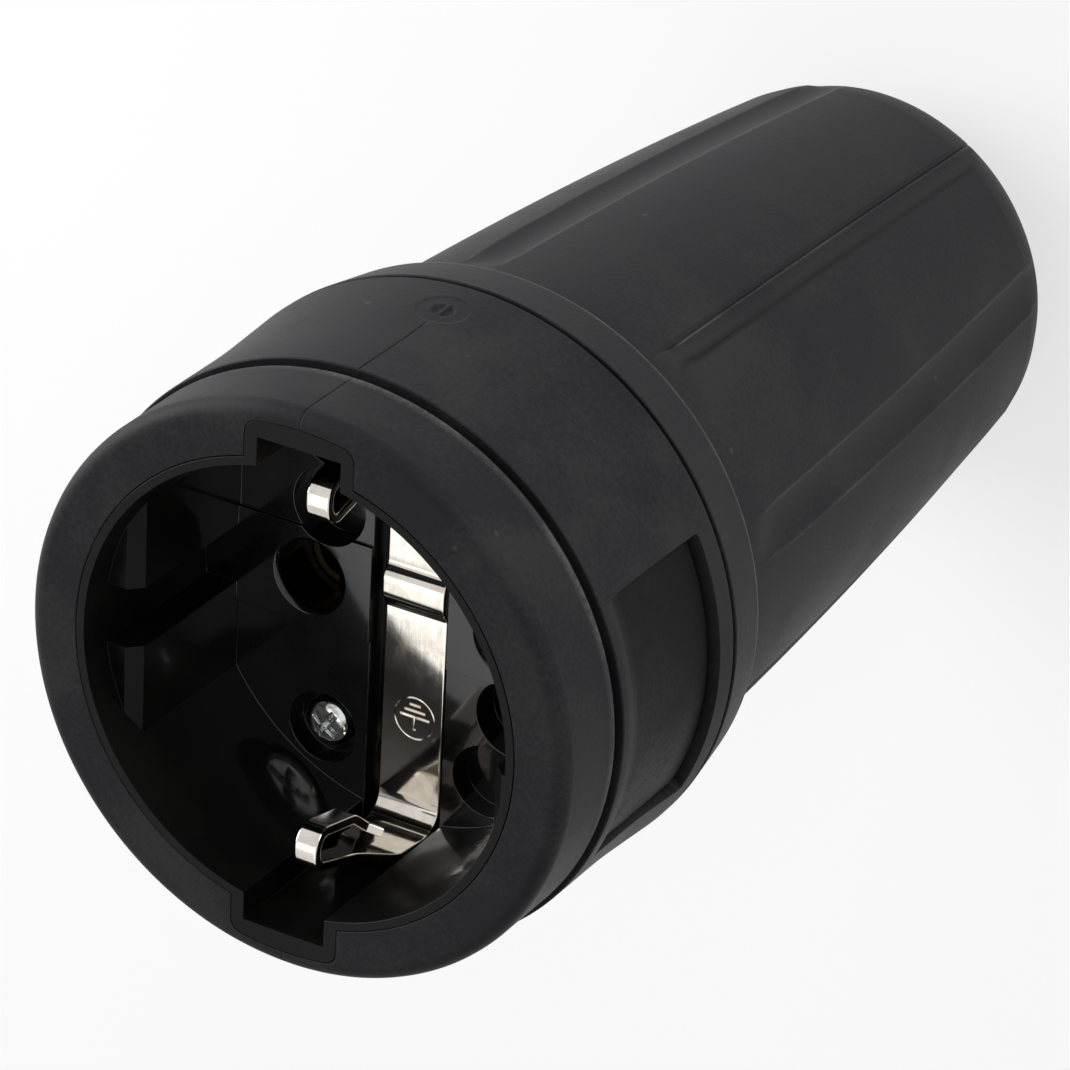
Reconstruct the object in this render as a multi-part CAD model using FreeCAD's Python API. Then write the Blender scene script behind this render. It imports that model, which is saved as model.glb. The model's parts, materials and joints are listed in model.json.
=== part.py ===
import FreeCAD, Part
import math
import os

# Inline socket connector for a plug with two round pins and side earth contacts.
# It stands on the cable end of its grip, with the socket opening up. Z is the connector's axis,
# the pin holes lie along X and the earth clips along Y. Lengths are in millimetres.
# A depth is measured down from the front face, and a reach outwards from the axis.

# Driving dimensions

# Gaps between pieces
fit_gap = 0.05
seat_gap = 0.1
well_gap = 0.3

# Recess that takes the plug
recess_radius = 19.6
recess_depth = 18.0
pin_spacing = 19.0
pin_radius = 2.4
pin_hole_radius = 3.1
pin_hole_lead = 0.35
pin_land_length = 8.8
pin_land_rise = 0.3
guide_inset = 3.1
guide_groove_width = 5.3
guide_drop = 3.1
guide_lead = 1.1

# Moulded insert round the recess
insert_wall = 1.4
rim_wall = 0.75
rim_height = 1.5
floor_thickness = 5.0
notch_width = 7.6
notch_reach = 2.15
notch_wall = 1.7
notch_side_wall = 1.18
notch_corner = 1.2
channel_width = 7.3
left_well = (-8.0, 6.8)
right_well = (10.0, -7.2)
well_radius = 3.4
well_depth = 2.6

# Form of every screw, as shares of the screw's own radius or head height
head_round_share = 0.55
cross_length_share = 1.15
cross_width_share = 0.3
cross_depth_share = 0.55
tip_share = 0.35

# Screws that hold the insert to the carrier
insert_screw_angle = 60.0
insert_screw_inset = 3.8
insert_screw_radius = 1.25
insert_screw_head_radius = 2.2
insert_screw_head_height = 1.7
insert_screw_length = 13.5
screw_pocket_radius = 3.2
screw_pocket_depth = 2.0

# Earth bracket, folded from strip
strip_width = 5.9
strip_thickness = 0.8
strip_drop = 1.0
strip_inner_bend = 2.0
bead_at = 1.05
bead_width = 1.9
bead_rise = 0.7
bead_inner_bend = 0.15
clip_width = 2.1
clip_front_depth = 3.4
clip_reach = 13.9
clip_curl_width = 3.1
clip_curl_share = 0.42
clip_face_length = 5.6
clip_face_spread = 1.3
clip_tail_drop = 8.0
clip_tail_spread = 3.3
clip_inner_bend = 1.1
leg_inset = 0.85
leg_knee_rise = 6.0
leg_knee_inset = 0.7
leg_knee_bend = 6.0
leg_shoulder_rise = 5.8
leg_neck_rise = 10.2

# Rubber front shell
ring_wall = 3.9
ring_length = 8.5
ring_round = 1.3
groove_width = 1.2
groove_depth = 0.9
body_rise = 0.4
flare_length = 8.3
flare_rise = 0.5
shell_overhang = 2.2
edge_round = 0.3
panel_angle = 54.0
panel_set_back = 0.8
panel_margin = 2.1
panel_sink = 0.05
panel_corner = 0.8
mark_from_rear = 4.2
mark_radius = 2.3
mark_sink = 0.2

# Contact carrier behind the floor
plate_thickness = 3.0
flange_thickness = 2.0
collar_step = 1.2
collar_wall = 2.4
collar_length = 8.0
snap_from_front = 4.2
snap_width = 1.8
snap_bite = 1.1
tower_wall = 1.7
barrier_thickness = 2.0
barrier_low = -9.0
barrier_high = 5.0
boss_radius = 3.2
boss_length = 9.0

# Contact sleeves and their springs
sleeve_wall = 0.6
sleeve_length = 13.7
sleeve_end = 3.0
sleeve_slot = 0.8
tenon_radius = 1.5
tenon_length = 2.3
spring_thickness = 0.4
spring_width = 4.0
spring_from_front = 2.5
spring_opening = 1.5

# Terminal blocks with their screws and wire guards
terminal_width = 7.0
terminal_height = 8.0
terminal_length = 11.0
terminal_seat = 4.0
wire_hole_width = 3.4
wire_hole_height = 4.0
wire_hole_length = 7.6
terminal_screw_radius = 1.75
terminal_screw_head_radius = 2.9
terminal_screw_head_height = 2.2
terminal_screw_from_end = 3.6
guard_thickness = 0.4
guard_width = 3.6
guard_length = 6.6
guard_lip = 1.5

# Earth terminal behind the floor
earth_strip_width = 6.0
earth_strip_thickness = 1.0
earth_inner_bend = 1.1
earth_leg_reach = 13.0
earth_foot_margin = 2.9
earth_leg_length = 23.0
earth_screw_radius = 2.0
earth_screw_head_radius = 3.3
earth_screw_head_height = 2.4
earth_screw_length = 6.3
earth_screw_from_end = 5.0
earth_washer_size = 7.0
earth_washer_thickness = 0.8
rivet_from_leg = 3.5
rivet_radius = 1.2
rivet_head_radius = 2.0
rivet_head_height = 0.7

# Cable clamp on the carrier's tail
cable_radius = 5.2
clamp_gap = 4.0
clamp_ear = 3.5
clamp_length = 12.0
clamp_below_block = 6.0
clamp_base_thickness = 7.0
saddle_wall = 2.6
saddle_ear_thickness = 3.0
clamp_screw_radius = 1.75
clamp_screw_head_radius = 2.75
clamp_screw_head_height = 2.2
clamp_nut_flats = 6.0
clamp_nut_height = 2.8
clamp_screw_tip = 0.6
tail_thickness = 3.0

# Rubber grip
seam_gap = 0.3
shoulder_length = 5.4
shoulder_fall = 0.85
shoulder_step_length = 0.8
grip_wall = 3.3
grip_fall = 4.05
grip_bow = 0.5
grip_end_run = 12.4
grip_end_round = 10.5
grip_end_length = 18.4
cable_room = 18.2
cable_entry_radius = 6.0
cable_entry_length = 11.0
flute_count = 8
flute_phase = 13.5
flute_set_back = 6.8
flute_width = 4.4
flute_depth = 0.6

# Sizes that follow from the driving dimensions
insert_radius = recess_radius + insert_wall
rim_radius = recess_radius + rim_wall
notch_radius = recess_radius + notch_reach
insert_depth = recess_depth + floor_thickness
strip_top_depth = recess_depth + strip_drop
channel_depth = strip_top_depth + strip_thickness
pin_reach = pin_spacing / 2
guide_reach = recess_radius - guide_inset
insert_screw_reach = recess_radius - insert_screw_inset
screw_seat_depth = recess_depth + screw_pocket_depth
strip_bend = strip_inner_bend + strip_thickness / 2
bead_bend = bead_inner_bend + strip_thickness / 2
clip_bend = clip_inner_bend + strip_thickness / 2
clip_face_depth = clip_front_depth + clip_face_length
clip_tail_depth = clip_front_depth + clip_tail_drop
leg_reach = notch_radius - leg_inset
leg_knee_depth = strip_top_depth - leg_knee_rise
leg_shoulder_depth = strip_top_depth - leg_shoulder_rise
leg_neck_depth = strip_top_depth - leg_neck_rise
shell_bore = insert_radius + fit_gap
ring_radius = shell_bore + ring_wall
body_radius = ring_radius + body_rise
shell_depth = insert_depth + shell_overhang
flare_depth = shell_depth - flare_length
shell_rear_radius = body_radius + flare_rise
panel_front_depth = ring_length + groove_width + panel_set_back
panel_end_depth = shell_depth - panel_margin
mark_depth = shell_depth - mark_from_rear
plate_depth = insert_depth + plate_thickness
flange_depth = insert_depth + flange_thickness
collar_radius = insert_radius - collar_step
collar_depth = plate_depth + collar_length
grip_depth = shell_depth + seam_gap
snap_front_depth = grip_depth + snap_from_front
sleeve_radius = pin_radius + sleeve_wall
sleeve_depth = insert_depth + seat_gap
block_depth = sleeve_depth + sleeve_length
block_end_depth = block_depth + terminal_length
tower_depth = block_depth + terminal_seat
contact_well_radius = sleeve_radius + spring_thickness + well_gap
earth_bend = earth_inner_bend + earth_strip_thickness / 2
rivet_at = earth_leg_reach - rivet_from_leg
earth_foot_start = rivet_at - earth_foot_margin
earth_foot_depth = insert_depth + earth_strip_thickness
earth_leg_depth = insert_depth + earth_leg_length
clamp_depth = block_end_depth + clamp_below_block
clamp_end_depth = clamp_depth + clamp_length
clamp_middle_depth = clamp_depth + clamp_length / 2
clamp_base_top = -clamp_gap / 2
clamp_base_low = clamp_base_top - clamp_base_thickness
clamp_seat_reach = saddle_ear_thickness - clamp_base_top
cavity_end_depth = clamp_end_depth + cable_room
overall_length = cavity_end_depth + grip_end_length
grip_side_depth = grip_depth + shoulder_length + shoulder_step_length
grip_rear_depth = overall_length - grip_end_run
grip_front_radius = collar_radius + seat_gap + grip_wall
grip_rear_radius = grip_front_radius - grip_fall
cavity_front_radius = grip_front_radius - grip_wall
cavity_front_depth = collar_depth + 2 * seat_gap
cavity_end_radius = grip_rear_radius - grip_wall
cavity_slope = (cavity_end_radius - cavity_front_radius) / (cavity_end_depth - cavity_front_depth)
clamp_room = cavity_front_radius + cavity_slope * (clamp_middle_depth - cavity_front_depth) - well_gap
clamp_nut_radius = clamp_nut_flats / 2 / math.cos(math.pi / 6)
clamp_nut_low = clamp_base_low - clamp_nut_height
clamp_screw_reach = math.sqrt(clamp_room ** 2 - clamp_nut_low ** 2) - clamp_nut_radius
clamp_width = 2 * (clamp_screw_reach + clamp_ear)
tail_width = 2 * (clamp_screw_reach - clamp_nut_radius - well_gap)
flute_start_depth = grip_side_depth + flute_set_back


# Basic shapes

AXIS = FreeCAD.Vector(0, 0, 1)
ORIGIN = FreeCAD.Vector(0, 0, 0)
tolerance = 0.01


def level(depth):
    """Height above the cable end of a depth below the front face."""
    return overall_length - depth


def disc(radius, top, bottom, at=(0, 0)):
    """Upright cylinder between two depths."""
    base = FreeCAD.Vector(at[0], at[1], level(bottom))
    return Part.makeCylinder(radius, bottom - top, base)


def block(x_span, y_span, top, bottom):
    """Box over an X span and a Y span, between two depths."""
    base = FreeCAD.Vector(x_span[0], y_span[0], level(bottom))
    return Part.makeBox(x_span[1] - x_span[0], y_span[1] - y_span[0], bottom - top, base)


def centred(width, middle=0):
    """Span of the given width about its middle."""
    return middle - width / 2, middle + width / 2


def rounded_wire(corners, place, closed=True):
    """Wire through corners (u, v, radius), each rounded by its radius; place turns (u, v) into a point."""
    points = [FreeCAD.Vector(u, v, 0) for u, v, _ in corners]
    count = len(points)
    turns = []
    for index, (_, _, radius) in enumerate(corners):
        here = points[index]
        if radius == 0 or (not closed and index in (0, count - 1)):
            turns.append([here])
            continue
        back = (points[index - 1] - here).normalize()
        ahead = (points[(index + 1) % count] - here).normalize()
        half = back.getAngle(ahead) / 2
        reach = radius / math.tan(half)
        middle = here + (back + ahead).normalize() * (radius / math.sin(half) - radius)
        turns.append([here + back * reach, middle, here + ahead * reach])
    edges = []
    for index, turn in enumerate(turns):
        placed = [place(point.x, point.y) for point in turn]
        if len(placed) == 3:
            edges.append(Part.Arc(*placed).toShape())
        if closed or index < count - 1:
            following = turns[(index + 1) % count][0]
            edges.append(Part.makeLine(placed[-1], place(following.x, following.y)))
    return Part.Wire(edges)


def turned(corners, angle=360):
    """Solid turned about the axis, from +X on, from an outline of (radius, depth, rounding)."""
    outline = rounded_wire(corners, lambda radius, depth: FreeCAD.Vector(radius, 0, level(depth)))
    return Part.Face(outline).revolve(ORIGIN, AXIS, angle)


def sharp(points):
    """Outline corners with no rounding."""
    return [(u, v, 0) for u, v in points]


def straight_edges(shape, direction):
    """Straight edges of a shape that run along a direction."""
    lines = [edge for edge in shape.Edges if isinstance(edge.Curve, Part.Line)]
    return [edge for edge in lines if edge.Curve.Direction.cross(direction).Length < tolerance]


def edges_at_height(shape, height):
    """Edges of a shape that lie wholly at one height."""
    flat = [edge for edge in shape.Edges if edge.BoundBox.ZLength < tolerance]
    return [edge for edge in flat if abs(edge.CenterOfMass.z - height) < tolerance]


def aimed(shape, at, direction):
    """Copy of a shape built along +Z, turned to a direction and moved to a point."""
    turn = FreeCAD.Rotation(AXIS, direction)
    moved = shape.copy()
    moved.Placement = FreeCAD.Placement(at, turn)
    return moved


def half_turned(shape):
    """Copy of a shape turned half round the axis."""
    return shape.rotated(ORIGIN, AXIS, 180)


def export(name, *solids):
    """Writes one node from its solids."""
    shape = solids[0] if len(solids) == 1 else Part.makeCompound(solids)
    shape.exportStep("parts/" + name + ".step")


# Fasteners

def screw(head_radius, head_height, shank_radius, shank_length):
    """Pan-head screw with a cross recess, its head's underside at the origin and its head up."""
    head = Part.makeCylinder(head_radius, head_height)
    head = head.makeFillet(head_height * head_round_share, edges_at_height(head, head_height))
    arm_length = head_radius * cross_length_share
    arm_width = head_radius * cross_width_share
    cross_floor = head_height * (1 - cross_depth_share)
    for length, width in ((arm_length, arm_width), (arm_width, arm_length)):
        corner = FreeCAD.Vector(-length / 2, -width / 2, cross_floor)
        head = head.cut(Part.makeBox(length, width, head_height, corner))
    shank = Part.makeCylinder(shank_radius, shank_length, FreeCAD.Vector(0, 0, -shank_length))
    shank = shank.makeChamfer(shank_radius * tip_share, edges_at_height(shank, -shank_length))
    return head.fuse(shank).removeSplitter()


def hexagon_nut(corner_radius, height, bore_radius):
    """Hexagon nut with its lower face on the origin and its bore along Z."""
    turns = [math.pi / 3 * step for step in range(6)]
    points = [(corner_radius * math.cos(turn), corner_radius * math.sin(turn)) for turn in turns]
    outline = rounded_wire(sharp(points), lambda x, y: FreeCAD.Vector(x, y, 0))
    body = Part.Face(outline).extrude(FreeCAD.Vector(0, 0, height))
    return body.cut(Part.makeCylinder(bore_radius, height))


# Socket insert

def notch_cut(width, top, bottom):
    """Bar along Y between the flat ends of both earth notches."""
    return block(centred(width), (-notch_radius, notch_radius), top, bottom)


def insert_bar(top, bottom, gap=0):
    """Outside of the notch walls, its ends rounded about the axis, with a gap for the piece round them."""
    width = notch_width + 2 * notch_side_wall + 2 * gap
    reach = notch_radius + notch_wall + gap
    bar = block(centred(width), (-reach, reach), top, bottom).common(disc(reach, top, bottom))
    return bar.makeFillet(notch_corner, straight_edges(bar, AXIS))


def guide_pad():
    """Segment of the recess wall with a flat face, a groove for the plug's rib and a lead-in edge."""
    outer = recess_radius + insert_wall / 2
    bottom = recess_depth + floor_thickness / 2
    pad = block((guide_reach, outer), (-outer, outer), guide_drop, bottom)
    pad = pad.common(disc(outer, guide_drop, bottom))
    front_edges = edges_at_height(pad, level(guide_drop))
    pad = pad.makeChamfer(guide_lead, [edge for edge in front_edges if isinstance(edge.Curve, Part.Line)])
    groove = block((guide_reach, recess_radius), centred(guide_groove_width), guide_drop, recess_depth)
    return pad.cut(groove)


def screw_places():
    """The two places of the insert's screws, opposite each other about the axis."""
    x, y = screw_pocket_at()
    return (-x, -y), (x, y)


def screw_pocket_at():
    """Place of the screw pocket in the quarter of positive X and Y."""
    angle = math.radians(insert_screw_angle)
    return insert_screw_reach * math.cos(angle), insert_screw_reach * math.sin(angle)


def socket_insert():
    """Moulded cup with a thin rim, notches for the earth clips, guide flats and a stepped floor."""
    body = disc(insert_radius, rim_height, insert_depth)
    body = body.fuse([disc(rim_radius, 0, rim_height), insert_bar(0, insert_depth)])
    recess = disc(recess_radius, 0, recess_depth)
    body = body.cut([recess, notch_cut(notch_width, 0, recess_depth)])
    land_depth = recess_depth - pin_land_rise
    land = block((-insert_radius, insert_radius), centred(pin_land_length), land_depth, insert_depth)
    land = land.common(disc(recess_radius + insert_wall / 2, land_depth, insert_depth))
    body = body.fuse([land, guide_pad(), half_turned(guide_pad())])
    cuts = [notch_cut(channel_width, land_depth, channel_depth)]
    pocket_x, pocket_y = screw_pocket_at()
    for side in (-1, 1):
        at = (side * pin_reach, 0)
        lead_base = FreeCAD.Vector(*at, level(land_depth + pin_hole_lead))
        cuts.append(Part.makeCone(pin_hole_radius, pin_hole_radius + pin_hole_lead, pin_hole_lead, lead_base))
        cuts.append(disc(pin_hole_radius, land_depth, insert_depth, at))
        for end in (-1, 1):
            pocket_at = (side * pocket_x, end * pocket_y)
            cuts.append(disc(screw_pocket_radius, land_depth, screw_seat_depth, pocket_at))
    for at in (left_well, right_well):
        cuts.append(disc(well_radius, land_depth, recess_depth + well_depth, at))
    for at in screw_places():
        cuts.append(disc(insert_screw_radius + seat_gap, recess_depth, insert_depth, at))
    cuts.append(disc(rivet_radius + fit_gap, recess_depth, insert_depth, (0, rivet_at)))
    return body.cut(cuts).removeSplitter()


def insert_screw(at):
    """Screw from a floor pocket into the carrier's boss."""
    shape = screw(insert_screw_head_radius, insert_screw_head_height,
                  insert_screw_radius, insert_screw_length)
    return aimed(shape, FreeCAD.Vector(*at, level(screw_seat_depth)), AXIS)


# Earth bracket

def clip_path(side):
    """Middle line of one clip from the strip's bend to its tail, as (Y, depth, bend)."""
    curl_bend = clip_curl_width * clip_curl_share
    return [
        (side * leg_reach, strip_top_depth + strip_thickness / 2, strip_bend),
        (side * (leg_reach - leg_knee_inset), leg_knee_depth, leg_knee_bend),
        (side * (clip_reach + clip_curl_width), clip_front_depth, curl_bend),
        (side * clip_reach, clip_front_depth, curl_bend),
        (side * (clip_reach + clip_face_spread), clip_face_depth, clip_bend),
        (side * (clip_reach + clip_tail_spread), clip_tail_depth, 0),
    ]


def bead_path():
    """Middle line of the stiffening bead across the strip, as (Y, depth, bend)."""
    low = strip_top_depth + strip_thickness / 2
    high = low - bead_rise
    start, end = centred(bead_width, bead_at)
    return [
        (start - bead_rise, low, bead_bend),
        (start, high, bead_bend),
        (end, high, bead_bend),
        (end + bead_rise, low, bead_bend),
    ]


def earth_bracket():
    """Strip across the floor with a raised bead, folded at both ends into narrow spring clips."""
    corners = list(reversed(clip_path(-1))) + bead_path() + clip_path(1)
    middle = rounded_wire(corners, lambda y, depth: FreeCAD.Vector(0, y, level(depth)), closed=False)
    start = middle.OrderedVertexes[0].Point
    heading = middle.OrderedEdges[0].tangentAt(middle.OrderedEdges[0].FirstParameter)
    across = FreeCAD.Vector(1, 0, 0)
    outwards = heading.cross(across).normalize() * (strip_thickness / 2)
    sideways = across * (strip_width / 2)
    section = Part.makePolygon([start - outwards - sideways, start + outwards - sideways,
                                start + outwards + sideways, start - outwards + sideways,
                                start - outwards - sideways])
    strip = middle.makePipeShell([section], True, False)
    half_strip, half_clip = strip_width / 2, clip_width / 2
    front = sharp([(-half_strip, channel_depth), (half_strip, channel_depth),
                   (half_strip, leg_shoulder_depth), (half_clip, leg_neck_depth), (half_clip, 0),
                   (-half_clip, 0), (-half_clip, leg_neck_depth), (-half_strip, leg_shoulder_depth)])
    outline = rounded_wire(front, lambda x, depth: FreeCAD.Vector(x, -notch_radius, level(depth)))
    silhouette = Part.Face(outline).extrude(FreeCAD.Vector(0, 2 * notch_radius, 0))
    tail_reach = clip_reach + clip_tail_spread + strip_thickness
    for side in (-1, 1):
        beside = block(sorted((side * half_clip, side * strip_width)), (-tail_reach, tail_reach),
                       0, clip_tail_depth + strip_thickness)
        silhouette = silhouette.cut(beside)
    hole = disc(rivet_radius + fit_gap, recess_depth, channel_depth, (0, rivet_at))
    return strip.common(silhouette).cut(hole)


# Contacts

def contact():
    """Slotted sleeve with a solid end and a tenon for its terminal block, on the live side."""
    at = (pin_reach, 0)
    sleeve = disc(sleeve_radius, sleeve_depth, block_depth, at)
    tenon = disc(tenon_radius, block_depth, block_depth + tenon_length, at)
    bore_depth = block_depth - sleeve_end
    bore = disc(pin_radius, sleeve_depth, bore_depth, at)
    slot = block(centred(sleeve_slot, pin_reach), (-sleeve_radius, sleeve_radius), sleeve_depth, bore_depth)
    return sleeve.fuse(tenon).cut([bore, slot])


def contact_spring():
    """Open steel ring round the sleeve, on the live side."""
    at = (pin_reach, 0)
    top = sleeve_depth + spring_from_front
    bottom = top + spring_width
    inner = sleeve_radius + fit_gap / 2
    ring = disc(inner + spring_thickness, top, bottom, at).cut(disc(inner, top, bottom, at))
    opening = block((pin_reach, pin_reach + 2 * sleeve_radius), centred(spring_opening), top, bottom)
    return ring.cut(opening)


def terminal_outer():
    """Reach of the terminal block's outer face."""
    return pin_reach + terminal_width / 2


def terminal_screw_depth():
    """Depth of the terminal screw's axis."""
    return block_end_depth - terminal_screw_from_end


def screw_way(radius, start, length, depth):
    """Hole along X at a depth, from a reach outwards."""
    return Part.makeCylinder(radius, length, FreeCAD.Vector(start, 0, level(depth)), FreeCAD.Vector(1, 0, 0))


def terminal():
    """Pillar terminal block with a wire hole from behind and a screw hole from outside."""
    body = block(centred(terminal_width, pin_reach), centred(terminal_height), block_depth, block_end_depth)
    body = body.makeChamfer(edge_round, straight_edges(body, AXIS))
    wire_hole = block(centred(wire_hole_width, pin_reach), centred(wire_hole_height),
                      block_end_depth - wire_hole_length, block_end_depth)
    tenon_end_depth = block_depth + tenon_length + fit_gap
    tenon_hole = disc(tenon_radius + fit_gap, block_depth, tenon_end_depth, (pin_reach, 0))
    screw_hole = screw_way(terminal_screw_radius + fit_gap, pin_reach, terminal_width, terminal_screw_depth())
    return body.cut([wire_hole, tenon_hole, screw_hole])


def wire_guard():
    """Leaf along the outer wall of the wire hole, hooked over the block's end."""
    outer = pin_reach + wire_hole_width / 2 - fit_gap
    inner = outer - guard_thickness
    leaf = block((inner, outer), centred(guard_width), block_end_depth - guard_length, block_end_depth)
    lip = block((inner, outer + guard_lip), centred(guard_width),
                block_end_depth, block_end_depth + guard_thickness)
    return leaf.fuse(lip).removeSplitter()


def terminal_screw():
    """Screw through the block's outer wall onto the wire guard."""
    length = terminal_outer() - (pin_reach + wire_hole_width / 2 - fit_gap)
    shape = screw(terminal_screw_head_radius, terminal_screw_head_height, terminal_screw_radius, length)
    seat = FreeCAD.Vector(terminal_outer(), 0, level(terminal_screw_depth()))
    return aimed(shape, seat, FreeCAD.Vector(1, 0, 0))


# Earth terminal

def earth_terminal():
    """Angle strip riveted behind the floor, its leg running back to the earth screw."""
    half = earth_strip_thickness / 2
    path = [(earth_foot_start, insert_depth + half, 0), (earth_leg_reach, insert_depth + half, earth_bend),
            (earth_leg_reach, earth_leg_depth, 0)]
    middle = rounded_wire(path, lambda y, depth: FreeCAD.Vector(0, y, level(depth)), closed=False)
    half_width = earth_strip_width / 2
    start = FreeCAD.Vector(0, earth_foot_start, level(insert_depth + half))
    corners = [(-half_width, -half), (half_width, -half), (half_width, half), (-half_width, half)]
    section = Part.makePolygon([start + FreeCAD.Vector(x, 0, z) for x, z in corners + corners[:1]])
    strip = middle.makePipeShell([section], True, False)
    rivet_hole = disc(rivet_radius + fit_gap, insert_depth, earth_foot_depth, (0, rivet_at))
    screw_hole = Part.makeCylinder(earth_screw_radius + fit_gap, earth_leg_reach + earth_strip_thickness,
                                   earth_screw_seat(0), FreeCAD.Vector(0, 1, 0))
    return strip.cut([rivet_hole, screw_hole])


def earth_screw_seat(reach):
    """Point on the earth screw's axis at a reach along Y."""
    return FreeCAD.Vector(0, reach, level(earth_leg_depth - earth_screw_from_end))


def earth_clamp_washer():
    """Square washer between the earth screw's head and the leg."""
    inner = earth_leg_reach + earth_strip_thickness / 2
    half = earth_washer_size / 2
    middle = earth_leg_depth - earth_screw_from_end
    plate = block(centred(earth_washer_size), (inner, inner + earth_washer_thickness),
                  middle - half, middle + half)
    hole = Part.makeCylinder(earth_screw_radius + seat_gap, earth_washer_thickness, earth_screw_seat(inner),
                             FreeCAD.Vector(0, 1, 0))
    return plate.cut(hole)


def earth_terminal_screw():
    """Screw through the washer and the leg, along -Y."""
    shape = screw(earth_screw_head_radius, earth_screw_head_height, earth_screw_radius, earth_screw_length)
    reach = earth_leg_reach + earth_strip_thickness / 2 + earth_washer_thickness
    return aimed(shape, earth_screw_seat(reach), FreeCAD.Vector(0, 1, 0))


def earth_rivet():
    """Rivet through the bracket, the floor and the earth terminal's foot."""
    at = (0, rivet_at)
    head = disc(rivet_head_radius, strip_top_depth - rivet_head_height, strip_top_depth, at)
    shank = disc(rivet_radius, strip_top_depth, earth_foot_depth, at)
    tail = disc(rivet_head_radius, earth_foot_depth, earth_foot_depth + rivet_head_height, at)
    return head.fuse([shank, tail]).removeSplitter()


# Contact carrier

def tower():
    """Housing of one contact and its terminal block, on the live side."""
    width = terminal_width + 2 * tower_wall
    height = terminal_height + 2 * tower_wall
    return block(centred(width, pin_reach), centred(height), insert_depth, tower_depth)


def tower_cuts():
    """Well of the sleeve and pocket of the terminal block, on the live side."""
    well = disc(contact_well_radius, insert_depth, block_depth, (pin_reach, 0))
    pocket = block(centred(terminal_width + 2 * seat_gap, pin_reach), centred(terminal_height + 2 * seat_gap),
                   block_depth, tower_depth)
    return well.fuse(pocket)


def clamp_trough():
    """Base of the cable clamp with its half-round trough and its tail up to the carrier's plate."""
    base = block(centred(clamp_width), (clamp_base_low, clamp_base_top), clamp_depth, clamp_end_depth)
    base = base.makeFillet(edge_round, edges_at_height(base, level(clamp_end_depth)))
    tail = block(centred(tail_width), (clamp_base_low - tail_thickness, clamp_base_low),
                 insert_depth, clamp_end_depth)
    base = base.fuse(tail).cut(disc(cable_radius, clamp_depth, clamp_end_depth))
    holes = [clamp_screw_way(side, clamp_screw_radius + seat_gap) for side in (-1, 1)]
    return base.cut(holes)


def clamp_screw_way(side, radius):
    """Hole of a clamp screw, along Y through both halves of the clamp."""
    return clamp_bore(side, radius, clamp_base_low, clamp_seat_reach)


def clamp_bore(side, radius, low, high):
    """Cylinder about a clamp screw's axis between two heights along Y."""
    base = FreeCAD.Vector(side * clamp_screw_reach, low, level(clamp_middle_depth))
    return Part.makeCylinder(radius, high - low, base, FreeCAD.Vector(0, 1, 0))


def contact_carrier():
    """Moulded rear half: plate, collar with a snap groove, contact towers, barrier, bosses and clamp tail."""
    body = disc(insert_radius, insert_depth, flange_depth)
    body = body.fuse(disc(collar_radius, flange_depth, collar_depth))
    body = body.cut(disc(collar_radius - collar_wall, plate_depth, collar_depth))
    snap = (snap_front_depth, snap_front_depth + snap_width)
    groove = disc(collar_radius, *snap).cut(disc(collar_radius - snap_bite, *snap))
    barrier = block(centred(barrier_thickness), (barrier_low, barrier_high), insert_depth, block_end_depth)
    bosses = [disc(boss_radius, insert_depth, plate_depth + boss_length, at) for at in screw_places()]
    body = body.fuse([tower(), half_turned(tower()), barrier, clamp_trough()] + bosses).cut(groove)
    foot_width = centred(earth_strip_width + 2 * well_gap)
    foot_end = earth_leg_reach + earth_strip_thickness
    foot = block(foot_width, (earth_foot_start - well_gap, foot_end),
                 insert_depth, earth_foot_depth + seat_gap)
    leg = block(foot_width, (earth_leg_reach - earth_bend - well_gap, foot_end), insert_depth, plate_depth)
    tail_room = disc(rivet_head_radius + well_gap, insert_depth,
                     earth_foot_depth + rivet_head_height + seat_gap, (0, rivet_at))
    screw_end = screw_seat_depth + insert_screw_length + well_gap
    screw_holes = [disc(insert_screw_radius + fit_gap, insert_depth, screw_end, at) for at in screw_places()]
    cuts = [tower_cuts(), half_turned(tower_cuts()), foot, leg, tail_room] + screw_holes
    return body.cut(cuts).removeSplitter()


# Cable clamp

def clamp_saddle():
    """Arched strap over the cable with an ear and a flat seat for each screw."""
    low = -clamp_base_top
    ears = block(centred(clamp_width), (low, clamp_seat_reach), clamp_depth, clamp_end_depth)
    arch = disc(cable_radius + saddle_wall, clamp_depth, clamp_end_depth)
    arch = arch.common(block((-clamp_width, clamp_width), (low, clamp_width), clamp_depth, clamp_end_depth))
    saddle = ears.fuse(arch).cut(disc(cable_radius, clamp_depth, clamp_end_depth))
    holes = [clamp_screw_way(side, clamp_screw_radius + seat_gap) for side in (-1, 1)]
    head_room = clamp_screw_head_radius + seat_gap
    seats = [clamp_bore(side, head_room, clamp_seat_reach, cable_radius + saddle_wall) for side in (-1, 1)]
    return saddle.cut(holes + seats).removeSplitter()


def clamp_screw(side):
    """Screw down through the saddle and the trough into its nut."""
    length = clamp_seat_reach - clamp_nut_low + clamp_screw_tip
    shape = screw(clamp_screw_head_radius, clamp_screw_head_height, clamp_screw_radius, length)
    seat = FreeCAD.Vector(side * clamp_screw_reach, clamp_seat_reach, level(clamp_middle_depth))
    return aimed(shape, seat, FreeCAD.Vector(0, 1, 0))


def clamp_nut(side):
    """Hexagon nut under the trough."""
    shape = hexagon_nut(clamp_nut_radius, clamp_nut_height, clamp_screw_radius + fit_gap)
    seat = FreeCAD.Vector(side * clamp_screw_reach, clamp_nut_low, level(clamp_middle_depth))
    return aimed(shape, seat, FreeCAD.Vector(0, 1, 0))


# Rubber front shell

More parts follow.
